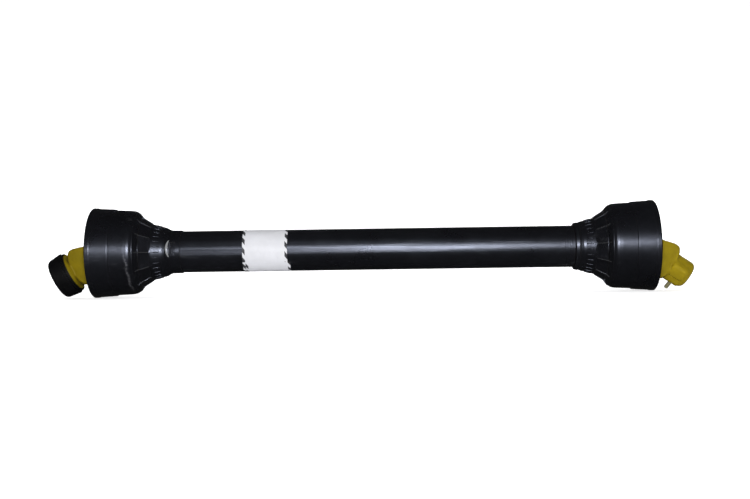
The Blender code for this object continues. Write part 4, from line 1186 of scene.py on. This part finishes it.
def die_cut(made, extras, s):
    """Slots and bevels a blank, adds what is forged on, and softens the edges."""
    for cutter in fork_cutters():
        combined(made, cutter)
    for extra in extras:
        combined(made, extra, "UNION")
    return forged(made, s.forging, s.flow)


def narrow_blank(name, back, extras, s, paint):
    """An outer fork's blank: its ears taper to a short root, with no band round it."""
    body = [(-0.03, 0), (-0.03, SWEEP_R), (0.041, SWEEP_R), (0.050, 0.0465), (0.058, 0.0440), (0.063, 0.0400),
            (0.067, 0.0340), *back]
    root, open_end = 0.0694, 0.06
    face = face_outline([
        (0.016, 0.0252), (0.037, 0.0317), (0.049, 0.0352), (0.056, 0.0356), (0.0605, 0.0348), (0.0645, 0.0318),
        (0.0672, 0.0285), (0.0692, 0.0258), (root, open_end), (0.20, open_end),
    ])
    ears = [
        (-0.04, EAR_OUT), (0.026, EAR_OUT), (0.034, 0.0398), (0.044, 0.0365), (0.054, 0.0325), (0.061, 0.0287),
        (0.066, 0.0264), (0.0692, 0.0258), (root, open_end), (0.20, open_end),
    ]
    side = [(w, x) for x, w in ears] + [(-w, x) for x, w in reversed(ears)]
    made = piece(name, turned(body, 128), paint)
    combined(made, piece("outline", prism(face, -0.06, 0.06, "Z")), "INTERSECT")
    combined(made, piece("ears", prism(side, -0.07, 0.07, "Y")), "INTERSECT")
    return die_cut(made, extras, s)


def fork_blank(name, back, s, paint):
    """An inner fork's blank, with a round base behind its ears."""
    made = piece(name, turned([
        (-0.03, 0), (-0.03, SWEEP_R), (0.041, SWEEP_R), (0.051, EAR_OUT + 0.0015), (BASE_START, BASE_R), *back,
    ], 128), paint)
    face = face_outline([(0.016, 0.0252), (0.041, 0.032), (0.050, 0.0352), (BASE_START, BASE_R + 0.0002),
                         (BASE_START + 0.0002, BASE_R + 0.02), (0.20, BASE_R + 0.02)])
    combined(made, piece("outline", prism(face, -EAR_OUT, EAR_OUT, "Z")), "INTERSECT")
    return die_cut(made, (), s)


def bore_ears(made, steel):
    """Bores both ears, with a bevel at the face and the groove for each clip."""
    wall, out, spot_r, spot = CUP_R + 0.00015, 0.05, 0.0178, EAR_OUT - 0.0003
    low, high = CUP_SPAN / 2 + 0.0001, CUP_SPAN / 2 + CLIP_THICKNESS + 3 * GAP
    deep, bevelled = wall + CLIP_BITE + GAP, wall + 0.0014
    half = [(out, bevelled), (EAR_OUT + 0.0004, bevelled), (EAR_OUT - 0.0008, wall), (high, wall),
            (high, deep), (low, deep), (low, wall)]
    profile = [(out, 0), *half, *[(-x, r) for x, r in reversed(half)], (-out, 0)]
    combined(made, piece("bores", turned(profile, 96, "Z"), steel))
    for side in (-1, 1):
        combined(made, piece("spot face", turned(rod(side * spot, side * out, spot_r), 96, "Z"), steel))
    return made


def spline_outline(count):
    """The splined bore across its axis, its corners a little rounded."""
    half_major = math.asin(SPLINE_WIDTH / 2 / SPLINE_MAJOR_R)
    half_minor = math.asin(SPLINE_WIDTH / 2 / SPLINE_MINOR_R)
    pitch = math.tau / count
    points = []
    for i in range(count):
        middle = i * pitch
        inner = [middle + half_minor + (pitch - 2 * half_minor) * k / 8 for k in range(1, 8)]
        outer = [middle - half_major + 2 * half_major * k / 8 for k in range(1, 8)]
        points.append((middle - half_minor, SPLINE_MINOR_R, 0.0003))
        points.append((middle - half_major, SPLINE_MAJOR_R, 0.0004))
        points += [(a, SPLINE_MAJOR_R, 0) for a in outer]
        points.append((middle + half_major, SPLINE_MAJOR_R, 0.0004))
        points.append((middle + half_minor, SPLINE_MINOR_R, 0.0003))
        points += [(a, SPLINE_MINOR_R, 0) for a in inner]
    return rounded([(r * math.sin(a), r * math.cos(a), soft) for a, r, soft in points], 2)


def machine_hub(made, s, steel):
    """Faces the hub, cuts its splines and bevels their mouth."""
    face, past, wide = HUB_END - 0.0003, HUB_END + 0.01, 0.0500
    combined(made, piece("face", turned(rod(face, past, wide), 96), steel))
    combined(made, piece("splines", prism(spline_outline(s.splines), 0.0, past), steel))
    inner, outer = HUB_END - 0.0022, HUB_END + 0.0010
    bevel = [(inner, 0), (inner, SPLINE_MINOR_R), (outer, SPLINE_MAJOR_R + 0.0010), (outer, 0)]
    combined(made, piece("bevel", turned(bevel, 96), steel))
    return made


def make_tube_fork(name, node, body, place, socket_r, tube_r, s):
    """The inner fork: forged ears and base, then a turned socket with the bearing's groove."""
    paint, steel = FINISHES["yoke paint"], FINISHES["machined steel"]
    back = [(BASE_END - 0.004, BASE_R), (BASE_END, BASE_R - 0.0035), (BASE_END + 0.0005, socket_r - 0.001),
            (BASE_END + 0.004, socket_r - 0.001), (BASE_END + 0.004, 0)]
    made = fork_blank(name, back, s, paint)
    soft = 0.0005
    floor = socket_r - GROOVE_DEPTH
    end = GROOVE_START + GROOVE_WIDTH
    socket = turned(rounded([
        (BASE_END - 0.006, 0), (BASE_END - 0.006, socket_r), (GROOVE_START, socket_r, soft),
        (GROOVE_START, floor, soft), (end, floor, soft), (end, socket_r, soft), (SOCKET_END, socket_r, 0.0012),
        (SOCKET_END, 0),
    ]), 128)
    combined(made, piece("socket", socket, paint), "UNION")
    low, high, cut, clear = GROOVE_START + 0.0004, end - 0.0004, floor - 0.00015, socket_r + 0.01
    groove = turned([(low, cut), (low, clear), (high, clear), (high, cut)], 128)
    combined(made, piece("groove", groove, steel))
    combined(made, piece("room", prism(lobed(tube_r + 0.0002), SOCKET_FLOOR, SOCKET_END + 0.01), steel))
    combined(made, cross_hole(steel))
    bore_ears(made, steel)
    shaded(moved(made, place))
    finished(made, body, "yoke_paint", node)


def make_collar_fork(s):
    """The outer fork whose hub carries the pull collar: a flange, a turned hub and three ball holes."""
    # The collar fork takes the darker copy of the yoke paint: painted shade.
    paint, steel = FINISHES["yoke paint, dull"], FINISHES["machined steel"]
    back = [(0.0695, 0.0280), (0.0705, 0.0240), (0.0740, 0.0225), (0.0740, 0)]
    made = narrow_blank("collar_fork_forging", back, (), s, paint)
    flange = [(0.0655, 0), (0.0668, 0.0240), (0.0722, 0.0338, 0.0012), (0.0734, 0.0350, 0.0008),
              (FLANGE_END, FLANGE_R, 0.0006), (FLANGE_END, 0)]
    combined(made, piece("flange", turned(rounded(flange, 6), 128), paint), "UNION")
    groove, groove_end, floor = WEB_END + GAP, WEB_END + GAP + 0.0021, HUB_R - 0.0015
    hub = [(FLANGE_END - 0.002, 0), (FLANGE_END - 0.002, HUB_R), (groove, HUB_R, 0.0002), (groove, floor),
           (groove_end, floor), (groove_end, HUB_R, 0.0002), (HUB_END, HUB_R, 0.0010), (HUB_END, 0)]
    combined(made, piece("hub", turned(rounded(hub), 128), steel), "UNION")
    bore_ears(made, steel)
    moved(made, Matrix.Rotation(math.pi / 2, 4, "X"))
    machine_hub(made, s, steel)
    for i in range(BALL_COUNT):
        hole = turned(rod(SPLINE_MINOR_R - 0.004, HUB_R + 0.01, BALL_R + 0.0001), 48, "Z")
        turn = Matrix.Translation((BALL_X, 0, 0)) @ Matrix.Rotation(math.tau * i / BALL_COUNT, 4, "X")
        combined(made, piece("hole", hole, steel, turn))
    shaded(moved(made, COLLAR_FORK))
    finished(made, "collar_fork", "yoke_paint", "collar_yoke")


def make_pull_collar():
    """The black collar: rear lip over the flange, groove, tapered skirt, pocket, and a moulding pip."""
    plastic, skirt = FINISHES["collar plastic"], FLANGE_R + 0.0009
    rear, front, room, flange_end, pip_x = 0.0748, 0.1078, POCKET_R + 0.0025, 0.0913, 0.0868
    profile = [
        (rear, 0.0379, 0.0003), (0.0753, 0.0385, 0.0005), (0.0786, 0.0387, 0.0006), (0.0794, 0.0373, 0.0005),
        (0.0804, 0.0373, 0.0004), (0.0808, 0.0407, 0.0006), (0.0816, 0.0413, 0.0008), (0.0905, 0.0403, 0.006),
        (0.1028, 0.0388, 0.003), (front, 0.0363, 0.003), (front, POCKET_R + 0.0004, 0.0008),
        (WEB_END, POCKET_R, 0.0008), (WEB_END, HUB_R + GAP, 0.0004), (WEB_START, HUB_R + GAP, 0.0004),
        (WEB_START, room, 0.0008), (flange_end, room, 0.0004), (flange_end, skirt, 0.0004),
        (rear, skirt, 0.0003),
    ]
    made = piece("release_collar_shell", turned(rounded(profile, 6), 160), plastic)
    pip = turned([(0.0390, 0), (0.0390, 0.0013), (0.0413, 0.0011), (0.0416, 0.0006), (0.0416, 0)], 24, "Y")
    combined(made, piece("pip", pip, plastic, Matrix.Translation((pip_x, 0, 0))), "UNION")
    shaded(moved(made, COLLAR_FORK))
    finished(made, "release_collar", "collar_plastic", "pull_collar")


def make_collar_inside(s):
    """The collar's spring, the balls that it holds down, and the clip that stops it."""
    room = s.collar_wire + GAP
    low, high = FLANGE_END + room, WEB_START - room
    spring = grown(
        "collar_coil", GROUPS["Coil spring"],
        COLLAR_FORK @ Matrix.Translation((low, 0, 0)) @ Matrix.Rotation(math.pi / 2, 4, "Y"), 60,
        Turns=s.collar_turns, Length=high - low, Coil_radius=(HUB_R + POCKET_R + 0.0025) / 2,
        Wire_radius=s.collar_wire, Closing=0.5, Finish=FINISHES["spring steel"],
    )
    finished(spring, "collar_fork", "spring_steel", "collar_spring")
    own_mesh(spring)
    bm = bmesh.new()
    bmesh.ops.create_uvsphere(bm, u_segments=40, v_segments=24, radius=BALL_R)
    bmesh.ops.translate(bm, verts=bm.verts, vec=(BALL_X, 0, HUB_R - 0.0001 - BALL_R))
    balls = repeated("locking_balls", bm, FINISHES["bearing steel"], BALL_COUNT, COLLAR_FORK)
    finished(balls, "collar_fork", "bearing_steel", "lock_ball_1", "lock_ball_2", "lock_ball_3")
    low, inner, outer, soft = WEB_END + 2 * GAP, HUB_R - 0.0012, 0.0285, 0.0003
    high = low + 0.0015
    section = rounded([(low, inner, soft), (low, outer, soft), (high, outer, soft), (high, inner, soft)])
    step = math.tau / 24
    ring = turned(section, 120, "X", step / 2, math.tau - 3 * step)
    made = piece("collar_clip", ring, FINISHES["spring steel"], COLLAR_FORK)
    finished(made, "collar_fork", "spring_steel", "collar_retaining_ring")


def pin_frame():
    """The pin's line on the hub, its own Z running into the boss."""
    lean = Matrix.Rotation(PIN_LEAN, 4, "X")
    return Matrix.Translation((PIN_X, 0, 0)) @ lean @ Matrix.Translation((0, -PIN_OFFSET, 0))


def on_pin_line(name, profile, finish, place=None):
    """A turned body on the pin's line, its profile given as (out of the boss, radius, rounding)."""
    outline = rounded([(-point[0], *point[1:]) for point in profile])
    return piece(name, turned(outline, 64, "Z"), finish, (place or Matrix.Identity(4)) @ pin_frame())


def boss():
    """The lug beside the hub that holds the pin, drawn in to the hub towards its end."""
    half = PIN_R + GAP + 0.0032
    far, near = -(PIN_OFFSET + half), -SPLINE_MAJOR_R - 0.002
    corners = [
        (-0.0085, 0.0236), (-0.0160, 0.0226), (-0.0228, 0.0208), (-0.0274, 0.0168),
        (far, -BOSS_OUT + 0.008), (far + 0.0020, -BOSS_OUT + 0.003), (far + 0.0060, -BOSS_OUT),
        (near + 0.004, -BOSS_OUT), (near + 0.008, -BOSS_OUT + 0.006), (near + 0.006, 0.0),
    ]
    lean = Matrix.Rotation(PIN_LEAN, 3, "X")
    sections = []
    for x, part in ((0.0630, 0.80), (0.0690, 1.0), (BOSS_END, 1.0), (BOSS_FADE, 0.82)):
        leaning = [lean @ Vector((0, y * part, z * part)) for y, z in corners]
        sections.append((x, [(p.y, p.z) for p in leaning]))
    return loft(sections)


def make_pin_fork(s):
    """The outer fork with the plain hub, and the boss of the push pin."""
    paint, steel = FINISHES["yoke paint"], FINISHES["machined steel"]
    skin, end = HUB_R + 0.0004, HUB_END + 0.0002
    back = [(0.0690, 0.0285), (0.0705, 0.0262), (0.0730, skin), (0.0995, skin), (0.1035, HUB_R - 0.0006),
            (0.1060, HUB_R - 0.0026), (end, HUB_R - 0.0048), (end, 0)]
    unroll = Matrix.Rotation(-math.pi / 2, 4, "X")
    made = narrow_blank("pin_fork_forging", back, (piece("boss", boss(), paint, unroll),), s, paint)
    bore_ears(made, steel)
    moved(made, Matrix.Rotation(math.pi / 2, 4, "X"))
    machine_hub(made, s, steel)
    vee = [(-0.0325, -0.0003), (-0.0325, -0.0047), (-0.0272, -0.0025)]
    lean = Matrix.Rotation(PIN_LEAN, 4, "X")
    combined(made, piece("line", prism(vee, 0.0700, 0.0990), paint, lean))
    wide, narrow, past = PIN_R + 0.00015, PIN_STEM_R + 0.0002, 0.04
    bevelled = narrow + 0.0012
    combined(made, on_pin_line("pin bore", [
        (-BOSS_IN, 0), (-BOSS_IN, wide), (GAP, wide), (GAP, narrow), (BOSS_OUT - 0.0006, narrow),
        (BOSS_OUT + 0.001, bevelled), (past, bevelled), (past, 0),
    ], steel))
    shaded(moved(made, PIN_FORK))
    finished(made, "pin_fork", "yoke_paint", "pin_yoke")


def make_push_pin(s):
    """The sprung pin with its locking head, waist and stem; its plug and its spring."""
    pocket, tail, waist, tip = -0.002, -0.007, 0.0026, 0.0344
    pin = on_pin_line("release_pin", [
        (pocket, 0), (pocket, PIN_POCKET_R), (tail, PIN_POCKET_R), (tail, PIN_R, 0.0003), (0, PIN_R, 0.0002),
        (0, waist, 0.0004), (0.0135, waist, 0.0006), (0.0145, PIN_STEM_R, 0.0004),
        (tip - 0.0010, PIN_STEM_R, 0.0004), (tip, PIN_STEM_R - 0.0010, 0.0005), (tip, 0),
    ], FINISHES["pin steel"], PIN_FORK)
    finished(pin, "lock_pin", "pin_steel", "push_pin")
    seat, rim = -BOSS_IN + PLUG_THICKNESS, PIN_R - 0.0001
    plug = on_pin_line("pin_plug_disc", [
        (-BOSS_IN + 0.0002, 0), (-BOSS_IN + 0.0006, 0.0030, 0.0005), (-BOSS_IN + 0.0002, rim, 0.0005),
        (seat, rim, 0.0004), (seat, 0),
    ], FINISHES["yoke paint"], PIN_FORK)
    finished(plug, "pin_fork", "yoke_paint", "pin_plug")
    wire, travel = s.pin_wire, 0.006
    low, high = seat + wire + GAP, pocket - wire - GAP
    line, flip = PIN_FORK @ pin_frame(), Matrix.Rotation(math.pi, 4, "X")
    spring = grown(
        "pin_coil", GROUPS["Coil spring"], line @ flip @ Matrix.Translation((0, 0, low)), 60,
        Turns=s.pin_turns, Length=high - low, Coil_radius=PIN_POCKET_R - wire - 2 * GAP, Wire_radius=wire,
        Closing=0.45, Finish=FINISHES["spring steel"],
    )
    finished(spring, "pin_fork", "spring_steel", "pin_spring")
    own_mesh(spring)


# Crosses


def make_cross(side, body, place):
    """A spider: a forged body with four ground journals, and the seat of its grease nipple."""
    steel = FINISHES["bearing steel"]
    shoulder = CUP_SPAN / 2 - CUP_LENGTH - SEAL_LENGTH - 2 * GAP
    top = CUP_SPAN / 2 - CUP_FLOOR - GAP
    arm_r, seat_r = 0.0119, 0.0032
    arm = rounded([(-shoulder, 0), (-shoulder, arm_r, 0.001), (shoulder, arm_r, 0.001), (shoulder, 0)])
    made = piece(f"{side}_cross_forging", turned(arm, 96, "Z"), steel)
    combined(made, piece("arm", turned(arm, 96, "Y")), "UNION")
    seat = [(0.006, 0), (0.006, seat_r + 0.0012), (NIPPLE_SEAT - 0.003, seat_r + 0.0002), (NIPPLE_SEAT, seat_r),
            (NIPPLE_SEAT, 0)]
    lean = Matrix.Rotation(NIPPLE_ANGLE, 4, "X")
    combined(made, piece("seat", turned(seat, 48, "Z"), None, lean), "UNION")
    forged(made, 0.0006, 6)
    journal = rounded([(-top, 0), (-top, JOURNAL_R, 0.0008), (top, JOURNAL_R, 0.0008), (top, 0)])
    for axis in ("Z", "Y"):
        combined(made, piece("journal", turned(journal, 96, axis), steel), "UNION")
    shaded(moved(made, place))
    finished(made, body, "bearing_steel", f"{side}_cross")
    make_nipple(side, body, place @ lean)


def make_nipple(side, body, place):
    """A grease nipple: a bevelled hexagon, and a waisted head with its ball."""
    brass, foot, corner = FINISHES["nipple brass"], NIPPLE_SEAT + GAP, 0.0034
    hexagon = [(corner * math.sin(math.tau * k / 6), corner * math.cos(math.tau * k / 6)) for k in range(6)]
    nut = piece(f"{side}_nipple_fitting", prism(hexagon, foot, foot + 0.0028, "Z"), brass)
    bevel = [(foot - 0.001, 0), (foot - 0.001, corner), (foot + 0.0022, corner),
             (foot + 0.0032, corner - 0.0010), (foot + 0.0032, 0)]
    combined(nut, piece("bevel", turned(bevel, 48, "Z")), "INTERSECT")
    head = [(0.001, 0), (0.001, 0.0021), (0.0036, 0.0021, 0.0004), (0.0045, 0.0017, 0.0005),
            (0.0052, 0.0019, 0.0004), (0.0061, 0.0027, 0.0006), (0.0070, 0.0024, 0.0006),
            (0.0074, 0.0010, 0.0003), (0.0070, 0.0006), (0.0070, 0)]
    head = turned(rounded([(foot + point[0], *point[1:]) for point in head]), 40, "Z")
    combined(nut, piece("head", head, brass), "UNION")
    shaded(moved(nut, place))
    finished(nut, body, "nipple_brass", f"{side}_grease_nipple")


def cup_section():
    """Half a bearing cup, cut along its axis: its bore is towards the joint."""
    bore, top = JOURNAL_R + JOURNAL_PLAY, CUP_SPAN / 2
    return rounded([
        (top - CUP_LENGTH, bore, 0.0003), (top - CUP_LENGTH, CUP_R, 0.0005), (top, CUP_R, 0.0012),
        (top, 0.0088, 0.0003), (top - 0.0004, 0.0080, 0.0003), (top - 0.0004, 0), (top - CUP_FLOOR, 0),
        (top - CUP_FLOOR, bore, 0.0004),
    ])


def seal_section():
    """Half a seal with its lip, between the cup and the cross."""
    bore, mouth = JOURNAL_R + JOURNAL_PLAY, CUP_SPAN / 2 - CUP_LENGTH
    high, low = mouth - GAP, mouth - GAP - SEAL_LENGTH
    return rounded([
        (high, bore + GAP, 0.0002), (low, bore + GAP, 0.0003), (low, CUP_R - 0.0026, 0.0004),
        (low + 0.0010, CUP_R - 0.0020, 0.0003), (low + 0.0013, CUP_R - 0.0024, 0.0003),
        (low + 0.0018, CUP_R - 0.0014, 0.0003), (high, CUP_R - 0.0008, 0.0003),
    ])


def clip_seed():
    """A snap ring in its groove, wider at its two ends."""
    low, inner, soft = CUP_SPAN / 2 + GAP, CLIP_INNER_R + 0.0006, 0.0003
    high, outer = low + CLIP_THICKNESS, CUP_R + CLIP_BITE + GAP - 0.0001
    open_half, eye, eye_width, inside = math.radians(15), 0.0022, 0.28, 0.012

    def ends(x, r, angle):
        """Widens the ring inwards near its opening."""
        near = min(angle, math.tau - angle) - open_half
        if r < inside and near < eye_width:
            r -= eye * max(0.0, 1 - near / eye_width) ** 0.5
        return x, r

    section = rounded([(low, inner, soft), (low, outer, soft), (high, outer, soft), (high, inner, soft)], 3)
    return turned(section, 120, "Z", open_half, math.tau - 2 * open_half, ends)


def make_journals(side, body, pair, place, first):
    """Cups, seals and snap rings of one fork, at both of its ears."""
    sets = (
        ("cups", turned(cup_section(), 80, "Z"), "bearing steel", "bearing_steel", "cup"),
        ("seals", turned(seal_section(), 72, "Z"), "seal rubber", "seal_rubber", "seal"),
        ("snap_rings", clip_seed(), "spring steel", "spring_steel", "snap_ring"),
    )
    for label, seed, finish, slot, node in sets:
        made = repeated(f"{side}_{pair[0]}_{pair[1]}_{label}", seed, FINISHES[finish], 2, place, first)
        finished(made, body, slot, *[f"{side}_{node}_{where}" for where in pair])


# Studio


def by_ray(net, seen, gloss, rest):
    """A value that differs for the camera, for reflections and for soft light."""
    path = net.add("ShaderNodeLightPath").outputs
    return net.mix(path["Is Camera Ray"], net.mix(path["Is Glossy Ray"], rest, gloss), seen)


def make_floor(s):
    """A pale floor that runs up into a backdrop."""
    bm = bmesh.new()
    bend_start, bend, wide, tall = 1.6, 1.4, 7.0, 6.0
    turns = [math.radians(a) for a in range(10, 91, 10)]
    rows = [(-6.0, 0.0), (bend_start, 0.0)]
    rows += [(bend_start + bend * math.sin(a), bend - bend * math.cos(a)) for a in turns]
    rows.append((bend_start + bend, tall))
    lines = [[bm.verts.new((x, y, z)) for x in (-wide, wide)] for y, z in rows]
    for line, following in zip(lines, lines[1:]):
        bm.faces.new([line[0], line[1], following[1], following[0]])
    floor = piece("studio_floor", bm)
    f = Finish("studio floor", roughness=0.9, Specular_IOR_Level=0.0)
    f.set("Base Color", f.shades(f.noise(f.where, 3.0, 3.0, 0.5), s.floor, 0.985, 1.0))
    f.set("Emission Color", rgba((1, 1, 1)))
    path = f.add("ShaderNodeLightPath").outputs
    f.set("Emission Strength", f.times(path["Is Camera Ray"], 0.62))
    dim = f.add("ShaderNodeEmission", {"Strength": s.gleam}).outputs[0]
    feeds = {0: path["Is Glossy Ray"], 1: f.shader.outputs[0], 2: dim}
    mixed = f.add("ShaderNodeMixShader", feeds).outputs[0]
    f.feed(f.tree.nodes["Material Output"].inputs["Surface"], mixed)
    floor.data.materials.append(f.material)


def make_studio(s):
    """The floor, a pale room, soft lights round the shaft, and the camera."""
    make_floor(s)
    world = bpy.data.worlds.new("room")
    world.use_nodes = True
    net = Net(world.node_tree)
    back = world.node_tree.nodes["Background"]
    back.inputs["Color"].default_value = (1, 1, 1, 1)
    net.feed(back.inputs["Strength"], by_ray(net, 1.0, s.gleam, s.fill))
    bpy.context.scene.world = world
    bpy.context.scene.view_settings.view_transform = "Standard"
    by_camera, behind = (0.05, -2.25, 0.385), (1.5, 0.9)
    for name, power, where, size, shows_in_gloss in (
        ("key", s.key, by_camera, (0.50, 0.14), True),
        ("strip", s.key * 0.45, by_camera, (2.6, 0.14), True),
        ("behind left", 30.0, (-1.6, 2.2, 1.2), behind, False),
        ("behind right", 30.0, (1.6, 2.2, 1.2), behind, False),
        ("above", 8.0, (0.0, 0.2, 2.2), (2.0, 1.0), False),
    ):
        lamp = bpy.data.lights.new(name, "AREA")
        lamp.energy = power
        lamp.shape = "RECTANGLE"
        lamp.size, lamp.size_y = size
        made = bpy.data.objects.new(name, lamp)
        made.location = where
        aim = Vector((0, 0, 0.085)) - Vector(where)
        made.rotation_euler = aim.to_track_quat("-Z", "Y").to_euler()
        made.visible_glossy = shows_in_gloss
        bpy.context.scene.collection.objects.link(made)
    make_camera(s)


def make_camera(s):
    """The camera, level with the shaft, turned a little to the left and rolled a little."""
    data = bpy.data.cameras.new("camera")
    data.lens = s.lens
    data.sensor_width = 36.0
    data.clip_end = 60.0
    camera = bpy.data.objects.new("camera", data)
    bpy.context.scene.collection.objects.link(camera)
    yaw, roll, aside = math.radians(-1.10), math.radians(-0.83), Vector((0.0044, 0, -0.0008))
    forward = Vector((math.sin(yaw), math.cos(yaw), 0))
    level = Vector((math.cos(yaw), -math.sin(yaw), 0))
    right = level * math.cos(roll) + level.cross(forward) * math.sin(roll)
    place = Matrix((right, right.cross(forward), -forward)).transposed().to_4x4()
    place.translation = (LEFT_CENTRE + RIGHT_CENTRE) / 2 - forward * s.distance + aside
    camera.matrix_world = place
    bpy.context.scene.camera = camera


# Operators


class SHAFT_OT_finishes(bpy.types.Operator):
    """Make the finishes and the shared node groups"""

    bl_idname = "shaft.finishes"
    bl_label = "Finishes"

    def execute(self, context):
        make_finishes(context.scene.shaft_finish, context.scene.shaft_guard)
        for tree in (repeat_tree(), coil_tree()):
            GROUPS[tree.name] = tree
        return {"FINISHED"}


class SHAFT_OT_bells(bpy.types.Operator):
    """Build both guard bells with their ribs and ridges"""

    bl_idname = "shaft.bells"
    bl_label = "Guard bells"

    def execute(self, context):
        make_bells(context.scene.shaft_guard)
        return {"FINISHED"}


class SHAFT_OT_guard_tubes(bpy.types.Operator):
    """Build the guard tubes, the wrap and the nylon bearings"""

    bl_idname = "shaft.guard_tubes"
    bl_label = "Guard tubes"

    def execute(self, context):
        make_guard_tubes()
        make_label(context.scene.shaft_guard)
        make_guard_bearing("left_running_ring", "left_guard_bearing", "left_guard", LEFT,
                           OUTER_SOCKET_R, OUTER_GUARD_R - OUTER_GUARD_WALL)
        make_guard_bearing("right_running_ring", "right_guard_bearing", "right_guard", RIGHT,
                           INNER_SOCKET_R, INNER_GUARD_R - INNER_GUARD_WALL)
        return {"FINISHED"}


class SHAFT_OT_drive_tubes(bpy.types.Operator):
    """Build the two profile tubes that slide in each other, and their pins"""

    bl_idname = "shaft.drive_tubes"
    bl_label = "Profile tubes"

    def execute(self, context):
        make_profile_tube("outer_drive_tube", "outer_profile_tube", "outer_shaft", LEFT, OUTER_TUBE_R)
        make_profile_tube("inner_drive_tube", "inner_profile_tube", "inner_shaft", RIGHT, INNER_TUBE_R)
        make_roll_pin("left_spring_pin", "left_roll_pin", "outer_shaft", LEFT, OUTER_SOCKET_R)
        make_roll_pin("right_spring_pin", "right_roll_pin", "inner_shaft", RIGHT, INNER_SOCKET_R)
        return {"FINISHED"}


class SHAFT_OT_tube_forks(bpy.types.Operator):
    """Build the two inner forks with their sockets"""

    bl_idname = "shaft.tube_forks"
    bl_label = "Tube forks"

    def execute(self, context):
        s = context.scene.shaft_joint
        make_tube_fork("left_tube_fork", "left_tube_yoke", "outer_shaft", LEFT,
                       OUTER_SOCKET_R, OUTER_TUBE_R, s)
        make_tube_fork("right_tube_fork", "right_tube_yoke", "inner_shaft", RIGHT,
                       INNER_SOCKET_R, INNER_TUBE_R, s)
        return {"FINISHED"}


class SHAFT_OT_collar_fork(bpy.types.Operator):
    """Build the outer fork with the quick-release hub"""

    bl_idname = "shaft.collar_fork"
    bl_label = "Collar fork"

    def execute(self, context):
        make_collar_fork(context.scene.shaft_joint)
        return {"FINISHED"}


class SHAFT_OT_collar(bpy.types.Operator):
    """Build the pull collar with its spring, balls and clip"""

    bl_idname = "shaft.collar"
    bl_label = "Pull collar"

    def execute(self, context):
        make_pull_collar()
        make_collar_inside(context.scene.shaft_joint)
        return {"FINISHED"}


class SHAFT_OT_pin_fork(bpy.types.Operator):
    """Build the outer fork with the push pin, its plug and its spring"""

    bl_idname = "shaft.pin_fork"
    bl_label = "Pin fork"

    def execute(self, context):
        make_pin_fork(context.scene.shaft_joint)
        make_push_pin(context.scene.shaft_joint)
        return {"FINISHED"}


class SHAFT_OT_crosses(bpy.types.Operator):
    """Build both crosses, and the cups, seals and snap rings on their journals"""

    bl_idname = "shaft.crosses"
    bl_label = "Crosses"

    def execute(self, context):
        make_cross("left", "left_spider", LEFT)
        make_cross("right", "right_spider", RIGHT)
        make_journals("left", "outer_shaft", ("top", "bottom"), LEFT, 0.0)
        make_journals("right", "inner_shaft", ("top", "bottom"), RIGHT, 0.0)
        make_journals("left", "collar_fork", ("front", "rear"), COLLAR_FORK, -math.pi / 2)
        make_journals("right", "pin_fork", ("front", "rear"), PIN_FORK, math.pi / 2)
        return {"FINISHED"}


class SHAFT_OT_studio(bpy.types.Operator):
    """Make the floor, the lights and the camera"""

    bl_idname = "shaft.studio"
    bl_label = "Studio"

    def execute(self, context):
        make_studio(context.scene.shaft_studio)
        return {"FINISHED"}


class SHAFT_PT_build(bpy.types.Panel):
    """Settings and steps of the drive shaft"""

    bl_label = "Drive shaft"
    bl_idname = "SHAFT_PT_build"
    bl_space_type = "VIEW_3D"
    bl_region_type = "UI"
    bl_category = "Drive shaft"

    def draw(self, context):
        scene = context.scene
        for settings in (scene.shaft_guard, scene.shaft_joint, scene.shaft_finish, scene.shaft_studio):
            box = self.layout.box()
            for name in settings.__annotations__:
                box.prop(settings, name)
        for step in STEPS:
            self.layout.operator(step.bl_idname)


STEPS = (
    SHAFT_OT_finishes, SHAFT_OT_bells, SHAFT_OT_guard_tubes, SHAFT_OT_drive_tubes, SHAFT_OT_tube_forks,
    SHAFT_OT_collar_fork, SHAFT_OT_collar, SHAFT_OT_pin_fork, SHAFT_OT_crosses, SHAFT_OT_studio,
)
SETTINGS = {
    "shaft_guard": GuardSettings, "shaft_joint": JointSettings, "shaft_finish": FinishSettings,
    "shaft_studio": StudioSettings,
}


def register():
    for name, settings in SETTINGS.items():
        bpy.utils.register_class(settings)
        setattr(bpy.types.Scene, name, bpy.props.PointerProperty(type=settings))
    for made in (*STEPS, SHAFT_PT_build):
        bpy.utils.register_class(made)


def unregister():
    for made in (SHAFT_PT_build, *reversed(STEPS)):
        bpy.utils.unregister_class(made)
    for name, settings in SETTINGS.items():
        delattr(bpy.types.Scene, name)
        bpy.utils.unregister_class(settings)


def main():
    """Registers the add-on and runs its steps."""
    register()
    bpy.ops.shaft.finishes()
    bpy.ops.shaft.studio()
    bpy.ops.shaft.bells()
    bpy.ops.shaft.guard_tubes()
    bpy.ops.shaft.drive_tubes()
    bpy.ops.shaft.tube_forks()
    bpy.ops.shaft.collar_fork()
    bpy.ops.shaft.collar()
    bpy.ops.shaft.pin_fork()
    bpy.ops.shaft.crosses()


if __name__ == "__main__":
    main()
